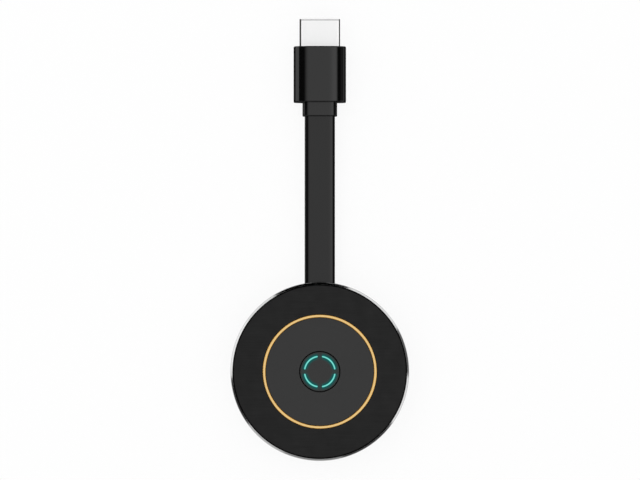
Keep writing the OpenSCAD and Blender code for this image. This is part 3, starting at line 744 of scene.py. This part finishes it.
class Workshop:
    """Makes pieces, gives them their finish and sets them on their body."""

    def __init__(self) -> None:
        """Builds every finish once."""
        self.finishes = {finish.slot: finish.build() for finish in FINISHES}
        self.slots = {row["node"]: row["material_slot"] for row in frame["record"]["subparts"]}

    def hand_over(
        self, name: str, mesh: Mesh, body: Body, slot: str, node: str, sharp_deg: float = 40
    ) -> Piece:
        """Finishes a piece: an object at the origin that rides on its body and stands for its CAD node.

        Args:
            name: the piece's name.
            mesh: its shape, which is freed.
            body: the body that it rides on.
            slot: the slot that its finish belongs to.
            node: the CAD node that it replaces.
            sharp_deg: edges that turn more than this stay sharp.

        Returns:
            The piece.
        """
        piece = self.piece_of(name, mesh, slot, sharp_deg)
        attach(piece, body.value)
        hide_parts(node)
        return piece

    def piece_of(self, name: str, mesh: Mesh, slot: str, sharp_deg: float = 40) -> Piece:
        """Makes an object of a mesh, smooth but for its sharp edges.

        Args:
            name: the piece's name.
            mesh: its shape, which is freed.
            slot: the slot that its finish belongs to.
            sharp_deg: edges that turn more than this stay sharp.

        Returns:
            The piece, which rides on nothing yet.
        """
        data = kept_mesh(name, mesh)
        data.shade_smooth()
        data.set_sharp_from_angle(angle=math.radians(sharp_deg))
        data.materials.append(self.finishes[slot])
        piece = in_scene(name, data)
        piece.modifiers.new("flat_faces_stay_flat", "WEIGHTED_NORMAL").keep_sharp = True
        log.info("%s: %d faces, finish %s", name, len(data.polygons), slot)
        return piece

    def smoothed(
        self, node: str, body: Body, sharp_deg: float = 24,
        edge: Optional[Callable[[bmesh.types.BMEdge], bool]] = None, edge_r: float = 0.14,
    ) -> Piece:
        """A copy of a CAD node with its corners merged, so that its round faces shade smoothly.

        Args:
            node: the CAD node.
            body: the body that it rides on.
            sharp_deg: edges that turn more than this stay sharp.
            edge: picks edges to round, if any.
            edge_r: the radius of these, in millimetres.

        Returns:
            The piece.
        """
        mesh = bmesh.new()
        mesh.from_mesh(frame["nodes"][node].data)
        bmesh.ops.remove_doubles(mesh, verts=mesh.verts, dist=CAD_MERGE)
        if edge:
            picked = [e for e in mesh.edges if edge(e)]
            log.info("%s: %d edges rounded", node, len(picked))
            bmesh.ops.bevel(
                mesh, geom=picked, offset=edge_r * MM, offset_type="OFFSET", segments=4, profile=0.5,
                affect="EDGES", material=-1, clamp_overlap=True,
            )
        return self.hand_over(node + "_smooth", mesh, body, self.slots[node], node, sharp_deg)

    def dress(self, node: str) -> None:
        """Gives a CAD node that stays its finish.

        Args:
            node: the CAD node.
        """
        materials = frame["nodes"][node].data.materials
        materials.clear()
        materials.append(self.finishes[self.slots[node]])
        log.info("%s: finish %s", node, self.slots[node])


def turned(profile: list[Pair], steps: int) -> Mesh:
    """Turns a closed outline about the disc's axis.

    Args:
        profile: radius and height of each corner, in millimetres.
        steps: how many steps a full turn has.

    Returns:
        A closed ring.
    """
    mesh = bmesh.new()
    corners = [mesh.verts.new((r * MM, 0, z * MM)) for r, z in profile]
    edges = [mesh.edges.new((a, b)) for a, b in zip(corners, corners[1:] + corners[:1])]
    bmesh.ops.spin(
        mesh, geom=corners + edges, cent=(0, 0, 0), axis=(0, 0, 1), dvec=(0, 0, 0), angle=math.tau,
        steps=steps, use_merge=True, use_duplicate=False,
    )
    bmesh.ops.remove_doubles(mesh, verts=mesh.verts, dist=SEAM_MERGE)
    bmesh.ops.recalc_face_normals(mesh, faces=mesh.faces)
    return mesh


def polar(centre: Pair, radius: float, angle: float) -> Pair:
    """A point of a profile, at a distance and an angle from another.

    Args:
        centre: the other's radius and height, in millimetres.
        radius: the distance, in millimetres.
        angle: the angle from the horizontal, in degrees.

    Returns:
        Its radius and height.
    """
    turn = math.radians(angle)
    return centre[0] + radius * math.cos(turn), centre[1] + radius * math.sin(turn)


def arc(centre: Pair, radius: float, start: float, end: float, steps: int = 4) -> list[Pair]:
    """Points of an arc in a profile.

    Args:
        centre: its centre, in millimetres.
        radius: its radius, in millimetres.
        start: its first angle, in degrees.
        end: its last angle, in degrees.
        steps: how many steps it has.

    Returns:
        Radius and height of each point.
    """
    return [polar(centre, radius, start + (end - start) * i / steps) for i in range(steps + 1)]


def crowned_bar(
    width: float, thick: float, power: float, height: float, stations: list[Pair], steps: int = 144,
    side_share: float = 0.4,
) -> Mesh:
    """A bar along Y whose section is a superellipse, so that its faces are slightly crowned.

    Args:
        width: its size along X, in millimetres.
        thick: its size along Z.
        power: 2 for an ellipse; the higher, the flatter its faces and the tighter its edges.
        height: the height of its middle.
        stations: places along Y, and at each how far the section is inset from above and below.
        steps: how many corners the section has.
        side_share: the share of a station's inset that the sides take.

    Returns:
        A closed mesh.
    """
    mesh = bmesh.new()
    (first, inset), half_w, half_t = stations[0], width / 2, thick / 2
    for vert in bmesh.ops.create_circle(mesh, cap_ends=False, segments=steps, radius=1)["verts"]:
        across, up = (math.copysign(abs(c) ** (2 / power), c) for c in vert.co.xy)
        x, z = across * (half_w - side_share * inset), up * (half_t - inset) + height
        vert.co = (x * MM, first * MM, z * MM)
    loop = mesh.edges[:]
    for (y, before), (y_next, after) in zip(stations, stations[1:]):
        made = bmesh.ops.extrude_edge_only(mesh, edges=loop)["geom"]
        verts = {g for g in made if isinstance(g, bmesh.types.BMVert)}
        loop = [e for e in mesh.edges if verts.issuperset(e.verts)]
        bmesh.ops.translate(mesh, vec=(0, (y_next - y) * MM, 0), verts=list(verts))
        wider = (half_w - side_share * after) / (half_w - side_share * before)
        thicker = (half_t - after) / (half_t - before)
        bmesh.ops.scale(
            mesh, vec=(wider, 1, thicker), verts=list(verts), space=Matrix.Translation((0, 0, -height * MM))
        )
    bmesh.ops.holes_fill(mesh, edges=mesh.edges, sides=0)
    bmesh.ops.recalc_face_normals(mesh, faces=mesh.faces)
    return mesh


def rounded_ends(start: float, end: float, radius: float, steps: int = 5) -> list[Pair]:
    """Stations of a bar whose ends are rounded.

    Args:
        start: where it starts along Y, in millimetres.
        end: where it ends.
        radius: the radius of the rounding.
        steps: how many steps each rounding has.

    Returns:
        Places along Y and insets.
    """
    turns = [math.radians(90 * i / steps) for i in range(steps + 1)]
    first = [(start + radius * (1 - math.cos(a)), radius * (1 - math.sin(a))) for a in turns]
    return [*first, *((start + end - y, inset) for y, inset in reversed(first))]


@dataclass(frozen=True)
class Ring:
    """A flat ring of the disc's face, with rounded upper edges. Sizes are in millimetres.

    Attributes:
        name: the piece's name.
        slot: the slot that its finish belongs to.
        node: the CAD node that it replaces.
        inner_r: its inner radius.
        outer_r: its outer radius.
        low: the height of its foot.
        top: the height of its top.
        inner_edge: the radius of its inner upper edge.
        outer_edge: the radius of its outer upper edge.
        edge_steps: how many steps each of these has.
        sharp_deg: edges that turn more than this stay sharp.
    """

    name: str
    slot: str
    node: str
    inner_r: float
    outer_r: float
    low: float
    top: float
    inner_edge: float
    outer_edge: float
    edge_steps: int = 4
    sharp_deg: float = 50

    def outline(self) -> list[Pair]:
        """Traces the ring's section.

        Returns:
            Radius and height of each corner.
        """
        at_rim = (self.outer_r - self.outer_edge, self.top - self.outer_edge)
        at_bore = (self.inner_r + self.inner_edge, self.top - self.inner_edge)
        outside = arc(at_rim, self.outer_edge, 0, 90, self.edge_steps)
        inside = arc(at_bore, self.inner_edge, 90, 180, self.edge_steps)
        return [(self.inner_r, self.low), (self.outer_r, self.low), *outside, *inside]


@dataclass
class Disc:
    """The disc: both shells, the rim, and the rings of the front face. Sizes are in millimetres.

    Attributes:
        shop: what makes and finishes the pieces.
        outer_r: the rim's outer radius.
        rim_in_r: the rim's inner radius.
        rim_low: the height of the rim's lower edge.
        rim_foot_r: the radius of its lower outer edge.
        crown: the angles between which the rim's crowned bevel turns, and the radius at its outer end.
        crown_r: the crown's radius.
        crown_z: the height at which the rim's outer wall ends.
        land_r: the radius of the rim's inner top edge.
        land_drop: how far the rim slopes down inside that edge.
        rings: the brushed plate, the centre panel and the gold ring.
        shells: the CAD nodes of the two shells.
        steps: how many steps a full turn has.
    """

    shop: Workshop
    outer_r: float = 30.5
    rim_in_r: float = 29.78
    rim_low: float = 8.0
    rim_foot_r: float = 0.1
    crown: tuple[float, float, float] = (41, 66, 0.04)
    crown_r: float = 2.0
    crown_z: float = 10.4576
    land_r: float = 0.01
    land_drop: float = 0.02
    rings: tuple[Ring, ...] = (
        Ring("face_plate", "face_brushed", "face_ring", inner_r=19.525, outer_r=29.42, low=10.2, top=10.8,
             inner_edge=0.12, outer_edge=0.12),
        Ring("panel_plate", "panel_satin", "centre_panel", inner_r=7.05, outer_r=18.475, low=10.2, top=10.7,
             inner_edge=0.04, outer_edge=0.12),
        Ring("accent_turned", "accent_gold", "accent_ring", inner_r=18.525, outer_r=19.475, low=9.6,
             top=10.95, inner_edge=0.16, outer_edge=0.16, edge_steps=10, sharp_deg=40),
    )
    shells: tuple[str, ...] = ("rear_cover", "front_shell")
    steps: int = 256

    def rim(self) -> None:
        """The polished rim: a band with a rounded shoulder and a fine land."""
        foot_r, (low_deg, high_deg, small) = self.rim_foot_r, self.crown
        foot = arc((self.outer_r - foot_r, self.rim_low + foot_r), foot_r, -90, 0)
        corner = (self.outer_r - small, self.crown_z)
        middle = polar(corner, small - self.crown_r, low_deg)
        shoulder = arc(middle, self.crown_r, low_deg, high_deg, steps=12)[1:]
        top = polar(middle, self.crown_r - self.land_r, high_deg)
        land = arc(top, self.land_r, high_deg, 90)[1:]
        inner = (self.rim_in_r, land[-1][1] - self.land_drop)
        low = (self.rim_in_r, self.rim_low)
        outside = arc(corner, small, 0, low_deg)
        mesh = turned([low, *foot, *outside, *shoulder, *land, inner], self.steps)
        log.info("rim: top at %.3f mm, land from %.3f mm", land[-1][1], land[-1][0])
        self.shop.hand_over("rim_polished", mesh, Body.RECEIVER, "rim_chrome", "rim_ring")

    def build(self) -> None:
        """Makes every piece of the disc."""
        self.rim()
        for ring in self.rings:
            mesh = turned(ring.outline(), self.steps)
            self.shop.hand_over(ring.name, mesh, Body.RECEIVER, ring.slot, ring.node, ring.sharp_deg)
        for node in self.shells:
            self.shop.smoothed(node, Body.RECEIVER)


@dataclass
class Button:
    """The lit push button, and the snap dome that lifts it. Sizes are in millimetres.

    Attributes:
        shop: what makes and finishes the pieces.
        travel: how far the button goes down, and a little more; not used.
    """

    shop: Workshop
    travel: float = 0.305

    def dome(self) -> None:
        """Smooths the snap dome and gives the piece a mesh of its own."""
        piece = self.shop.smoothed("switch_dome", Body.RECEIVER)
        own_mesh(piece)

    def build(self) -> None:
        """Smooths the cap and the light guide, dresses the plunger and makes the dome."""
        self.shop.smoothed("button_cap", Body.BUTTON)
        self.shop.smoothed("light_guide", Body.BUTTON)
        self.shop.dress("switch_plunger")
        self.dome()


@dataclass
class Cable:
    """The flat cable, in two halves that meet at its middle. Sizes are in millimetres.

    Attributes:
        shop: what makes and finishes the pieces.
        width: its width.
        thick: its thickness.
        power: how square its section is.
        height: the height of its middle.
        start: where it starts inside the disc.
        root_hinge: the place along Y of the hinge near the disc; not used.
        middle: where the halves meet.
        tip_hinge: the place of the hinge near the plug; not used.
        end: where it ends inside the plug.
        bend: the length over which it bends round each hinge; not used.
        rings: how many steps each half has along its length.
    """

    shop: Workshop
    width: float = 10.4
    thick: float = 3.0
    power: float = 5.0
    height: float = 5.0
    start: float = 26.0
    root_hinge: float = 44.5
    middle: float = 58.8
    tip_hinge: float = 73.1
    end: float = 96.2
    bend: float = 16.0
    rings: int = 64

    def half(self, name: str, start: float, end: float) -> Piece:
        """One half of the cable, cut into rings along its length.

        Args:
            name: the piece's name.
            start: where it starts along Y.
            end: where it ends along Y.

        Returns:
            The piece, which rides on no body.
        """
        stations = [(start + (end - start) * i / self.rings, 0) for i in range(self.rings + 1)]
        mesh = crowned_bar(self.width, self.thick, self.power, self.height, stations, steps=96)
        return self.shop.piece_of(name, mesh, "cable_black")

    def bend_at(self, piece: Piece) -> None:
        """Hides the CAD cable and bakes the half's placement into its mesh.

        Args:
            piece: the half.
        """
        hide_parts("flat_cable")
        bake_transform(piece)

    def build(self) -> None:
        """Makes both halves, hides the CAD cable and bakes each half's placement into its mesh."""
        near = self.half("cable_near_disc", self.start, self.middle)
        self.bend_at(near)
        far = self.half("cable_near_plug", self.middle, self.end)
        self.bend_at(far)


@dataclass
class Plug:
    """The plug: boot, housing, metal shell and what shows inside it. Sizes are in millimetres.

    Attributes:
        shop: what makes and finishes the pieces.
        height: the height of its middle.
        boot_w: the boot's width.
        boot_t: its thickness.
        boot_power: how square its section is.
        boot_end_r: the radius round its ends.
        boot_y: where the boot starts.
        boot_in: how far it goes into the housing.
        housing_w: the housing's width.
        housing_t: its thickness.
        housing_power: how square its section is.
        housing_end_r: the radius round its ends.
        housing_y: where the housing starts.
        housing_end_y: where it ends.
        tip_y: where the metal shell ends.
        tip_near: how near to that an edge lies at the tip.
        side_slope: how far a face of the shell's side turns towards the tip at most.
    """

    shop: Workshop
    height: float = 5.0
    boot_w: float = 11.9
    boot_t: float = 5.2
    boot_power: float = 5.0
    boot_end_r: float = 0.45
    boot_y: float = 87.4
    boot_in: float = 1.0
    housing_w: float = 18.0
    housing_t: float = 10.0
    housing_power: float = 3.5
    housing_end_r: float = 0.4
    housing_y: float = 92.2
    housing_end_y: float = 111.3
    tip_y: float = 120.7
    tip_near: float = 0.01
    side_slope: float = 0.5

    def is_tip(self, edge: bmesh.types.BMEdge) -> bool:
        """Whether an edge of the metal shell lies on the outside of its tip.

        Args:
            edge: an edge of the shell.

        Returns:
            True where one of its faces looks outwards and it lies at the tip.
        """
        if len(edge.link_faces) != 2 or any(v.co.y < (self.tip_y - self.tip_near) * MM for v in edge.verts):
            return False
        outwards = edge.verts[0].co - Vector((0, self.tip_y * MM, self.height * MM))
        sides = (face.normal for face in edge.link_faces if abs(face.normal.y) < self.side_slope)
        return any(normal.dot(outwards) > 0 for normal in sides)

    def build(self) -> None:
        """Makes the boot and the housing, smooths the metal shell and dresses the rest."""
        boot = crowned_bar(self.boot_w, self.boot_t, self.boot_power, self.height,
                           rounded_ends(self.boot_y, self.housing_y + self.boot_in, self.boot_end_r))
        self.shop.hand_over("boot_moulded", boot, Body.PLUG, "boot_black", "plug_boot")
        housing = crowned_bar(self.housing_w, self.housing_t, self.housing_power, self.height,
                              rounded_ends(self.housing_y, self.housing_end_y, self.housing_end_r))
        self.shop.hand_over("housing_moulded", housing, Body.PLUG, "plug_gloss", "plug_housing")
        self.shop.smoothed("plug_shell", Body.PLUG, edge=self.is_tip, edge_r=0.09)
        for node in ("plug_core", "plug_wires", "plug_insulator", "plug_contacts"):
            self.shop.dress(node)


@dataclass
class Inside:
    """The pieces inside the disc, which stay as the CAD has them.

    Attributes:
        shop: what makes and finishes the pieces.
        nodes: their names.
    """

    shop: Workshop
    nodes: tuple[str, ...] = (
        "switch_body", "circuit_board", "processor", "thermal_pad", "heat_sink", "memory_chips",
        "flash_chip", "wireless_module", "wireless_shield", "antennas", "crystal", "power_inductors",
        "capacitors", "indicator_lamps", "socket_shell", "socket_tongue", "socket_contacts", "case_screws",
        "cable_grommet", "board_wires",
    )

    def build(self) -> None:
        """Dresses each piece."""
        for node in self.nodes:
            self.shop.dress(node)


@dataclass(frozen=True)
class Studio:
    """The camera, the pale floor and the soft light. Lengths are in metres.

    Attributes:
        aim: the point in the middle of the picture.
        distance: from that point to the camera.
        lens: the focal length, in millimetres.
        sensor: the width of the sensor, in millimetres.
        even: the level of the light from all sides.
        key_power: the soft key lamp's power.
        key_size: its width.
        key_place: where it hangs.
        floor_side: the side of the floor.
        floor_drop_mm: how far below the part it lies.
        floor_white: how pale it is.
        floor_clear: the share of the floor that lets the white studio show through.
        far: how far off the cards stand.
        frame_deg: the angle from straight up at which the ceiling ends and the walls start.
        opening: the ceiling's soft box, to the left, to the right and half of its depth, as shares of far.
        soft: the width of the soft box's soft edge, as a share of far.
        right_gain: how bright its right side is.
        right_part: the places along X between which it brightens to that, as shares of far.
        outer: how far along Y the ceiling's outer lights start, are full, and end, as shares of far.
        outer_level: how bright these are.
        below: how bright the flag under the part is, close to the cable and the plug and far from them; the
            dark near them is a painted shadow.
        below_drop_mm: how far below the part it lies.
        below_mm: how far from these two it starts to brighten, and where it is brightest.
        lead_mm: half the width of these two, and where they start and end.
        walls: name, direction and half angle in degrees, and level of each wall.
    """

    aim: Point = (0.00007, 0.04494, 0.0105)
    distance: float = 0.8196
    lens: float = 135.0
    sensor: float = 36.0
    even: float = 0.88
    key_power: float = 0.9
    key_size: float = 0.7
    key_place: Point = (-0.35, 0.4, 0.75)
    floor_side: float = 6.0
    floor_drop_mm: float = 0.05
    floor_white: float = 0.97
    floor_clear: float = 0.9
    far: float = 3.0
    frame_deg: float = 51.0
    opening: tuple[float, float, float] = (-0.13, 0.38, 0.22)
    soft: float = 0.24
    right_gain: float = 1.35
    right_part: Pair = (0.06, 0.26)
    outer: tuple[float, float, float] = (0.6, 0.76, 0.96)
    outer_level: float = 0.9
    below: Pair = (0.02, 0.6)
    below_drop_mm: float = 0.02
    below_mm: Pair = (15.0, 36.0)
    lead_mm: tuple[float, float, float] = (9.0, 30.5, 120.7)
    walls: tuple[tuple[str, float, float, float], ...] = (
        ("flag_cable", 96, 26, 0.0),
        ("card_left", 165, 17, 1.2),
        ("flag_lower_left", 203, 16, 0.04),
        ("card_lower", 233, 14, 0.62),
        ("card_bottom", 265.5, 18.5, 0.32),
        ("flag_low", 303, 19, 0.06),
        ("flag_right", 10, 16, 0.14),
    )

    def camera(self) -> None:
        """Sets the camera straight above, with the cable upwards in the picture."""
        data = bpy.data.cameras.new("camera")
        data.lens = self.lens
        data.sensor_width = self.sensor
        camera = in_scene("camera", data)
        camera.location = Vector(self.aim) + Vector((0, 0, self.distance))
        bpy.context.scene.camera = camera

    @staticmethod
    def show(name: str, mesh: Mesh, shader: Callable[[Recipe], bpy.types.Node]) -> Piece:
        """Adds a piece of the studio, which is no part of the object.

        Args:
            name: its name, and its material's.
            mesh: its shape, which is freed.
            shader: what adds its shader.

        Returns:
            The piece.
        """
        data = kept_mesh(name, mesh)
        material = bpy.data.materials.new(name)
        material.use_nodes = True
        recipe = Recipe(material.node_tree)
        recipe.add("ShaderNodeOutputMaterial", {}, {"Surface": shader(recipe).outputs[0]})
        data.materials.append(material)
        piece = in_scene(name, data)
        return piece

    def sheet(self, drop_mm: float) -> Mesh:
        """A flat sheet under the part.

        Args:
            drop_mm: how far below the part it lies.

        Returns:
            The sheet.
        """
        mesh = bmesh.new()
        bmesh.ops.create_grid(mesh, x_segments=1, y_segments=1, size=self.floor_side / 2)
        bmesh.ops.translate(mesh, vec=(0, 0, -drop_mm * MM), verts=mesh.verts)
        return mesh

    def floor_shader(self, recipe: Recipe) -> bpy.types.Node:
        """Matt and pale where light falls, and mostly clear to what looks at it.

        Args:
            recipe: the floor's nodes.

        Returns:
            The shader.
        """
        share = self.seen(recipe) * self.floor_clear
        matt = recipe.add("ShaderNodeBsdfDiffuse", {}, {"Color": (self.floor_white,) * 3})
        clear = recipe.add("ShaderNodeBsdfTransparent", {}, {"Color": WHITE})
        return recipe.add("ShaderNodeMixShader", {}, {0: share, 1: matt.outputs[0], 2: clear.outputs[0]})

    @staticmethod
    def seen(recipe: Recipe) -> Num:
        """Tells what looks at the studio from the light that it sheds.

        Args:
            recipe: the nodes of a floor or of the world.

        Returns:
            1 for the rays of the camera, gloss and glass, and 0 for the light on the part.
        """
        path = recipe.add("ShaderNodeLightPath", {}, {})
        seen = Num(recipe, path.outputs["Is Camera Ray"])
        for ray in ("Is Glossy Ray", "Is Transmission Ray"):
            seen = seen.largest(Num(recipe, path.outputs[ray]))
        return seen

    def world(self) -> None:
        """Lights the part evenly, and shows white behind it and in what it reflects."""
        world = bpy.data.worlds.new("studio")
        world.use_nodes = True
        world.cycles.sampling_method = "NONE"
        bpy.context.scene.world = world
        recipe = Recipe(world.node_tree)
        seen = self.seen(recipe)
        level = seen + (1 - seen) * self.even
        sky = recipe.add("ShaderNodeBackground", {}, {"Color": WHITE, "Strength": level})
        recipe.add("ShaderNodeOutputWorld", {}, {"Surface": sky.outputs[0]})

    def hang(self, name: str, mesh: Mesh, level: Union[float, Callable[[Recipe], Num]]) -> None:
        """Hangs a card that only glossy surfaces see, as a dark or bright band.

        Args:
            name: its name.
            mesh: its shape, which is freed.
            level: how bright it is, 0 for a black flag, or what gives its level over the card.
        """
        def shine(recipe: Recipe) -> bpy.types.Node:
            """The card's light."""
            strength = level(recipe) if callable(level) else level
            return recipe.add("ShaderNodeEmission", {}, {"Color": WHITE, "Strength": strength})

        card = self.show(name, mesh, shine)
        for ray in ("camera", "diffuse", "transmission", "volume_scatter", "shadow"):
            setattr(card, "visible_" + ray, False)

    def ceiling(self, recipe: Recipe) -> Num:
        """The level of the ceiling card: a soft box in a black surround, brighter to the right.

        Lights at both ends of the surround show in slanting views alone.

        Args:
            recipe: the card's nodes.

        Returns:
            The level.
        """
        x, y, _ = recipe.parts(recipe.place(1 / self.far))
        left, right, half = self.opening
        across = x.smooth(left - self.soft, left) * x.smooth(right + self.soft, right)
        gain = x.smooth(*self.right_part).spread(1.0, self.right_gain)
        box = across * abs(y).smooth(half + self.soft, half) * gain
        start, full, end = self.outer
        return box.largest(abs(y).smooth(start, full) * abs(y).smooth(end, full) * self.outer_level)

    def painted_shadow_flag(self, recipe: Recipe) -> Num:
        """The level of the flag under the part: dark along the cable and the plug, a painted shadow of both
        that only reflections see, and bright further off.

        Args:
            recipe: the flag's nodes.

        Returns:
            The level.
        """
        half, start, end = self.lead_mm
        x, y, _ = recipe.millimetres()
        off = (abs(x) - half).largest(y - end).largest(start - y)
        # painted shadow: the flag is darkest along the cable and the plug
        return off.smooth(*self.below_mm).spread(*self.below)

    def wall(self, centre_deg: float, half_deg: float) -> Mesh:
        """A standing piece of wall at the horizon, up to the ceiling's edge.

        Args:
            centre_deg: the direction of its middle, from +X towards +Y.
            half_deg: half the angle that it spans.

        Returns:
            An open, curved sheet.
        """
        mesh = bmesh.new()
        first = math.radians(centre_deg - half_deg)
        foot = mesh.verts.new((self.far * math.cos(first), self.far * math.sin(first), 0))
        head = mesh.verts.new((*foot.co.xy, self.far / math.tan(math.radians(self.frame_deg))))
        edge = mesh.edges.new((foot, head))
        bmesh.ops.spin(mesh, geom=[foot, head, edge], cent=(0, 0, 0), axis=(0, 0, 1), dvec=(0, 0, 0),
                       angle=math.radians(2 * half_deg), steps=12, use_duplicate=False)
        return mesh

    def cards(self) -> None:
        """Hangs the ceiling, the walls at the horizon and the flag that lies under the part, with its
        painted shadow.
        """
        above = bmesh.new()
        reach = self.far * math.tan(math.radians(self.frame_deg))
        bmesh.ops.create_circle(above, cap_ends=True, segments=96, radius=reach)
        bmesh.ops.translate(above, vec=(0, 0, self.far), verts=above.verts)
        self.hang("ceiling", above, self.ceiling)
        self.hang("flag_below", self.sheet(self.below_drop_mm), self.painted_shadow_flag)
        for name, centre, half, level in self.walls:
            self.hang(name, self.wall(centre, half), level)

    def key(self) -> None:
        """Adds one large soft lamp from the upper left."""
        data = bpy.data.lights.new("key", "AREA")
        data.shape = "DISK"
        data.size = self.key_size
        data.energy = self.key_power
        lamp = in_scene("key", data)
        lamp.location = self.key_place
        lamp.rotation_euler = (Vector(self.aim) - lamp.location).to_track_quat("-Z", "Y").to_euler()
        lamp.visible_camera = False
        lamp.visible_glossy = False

    def build(self) -> None:
        """Sets up the picture."""
        self.camera()
        self.show("floor", self.sheet(self.floor_drop_mm), self.floor_shader)
        self.world()
        self.cards()
        self.key()
        bpy.context.scene.view_settings.view_transform = "Standard"


def main() -> None:
    """Builds the scene, the camera first."""
    Studio().build()
    shop = Workshop()
    for assembly in (Disc(shop), Button(shop), Cable(shop), Plug(shop), Inside(shop)):
        assembly.build()


if __name__ == "__main__":
    main()
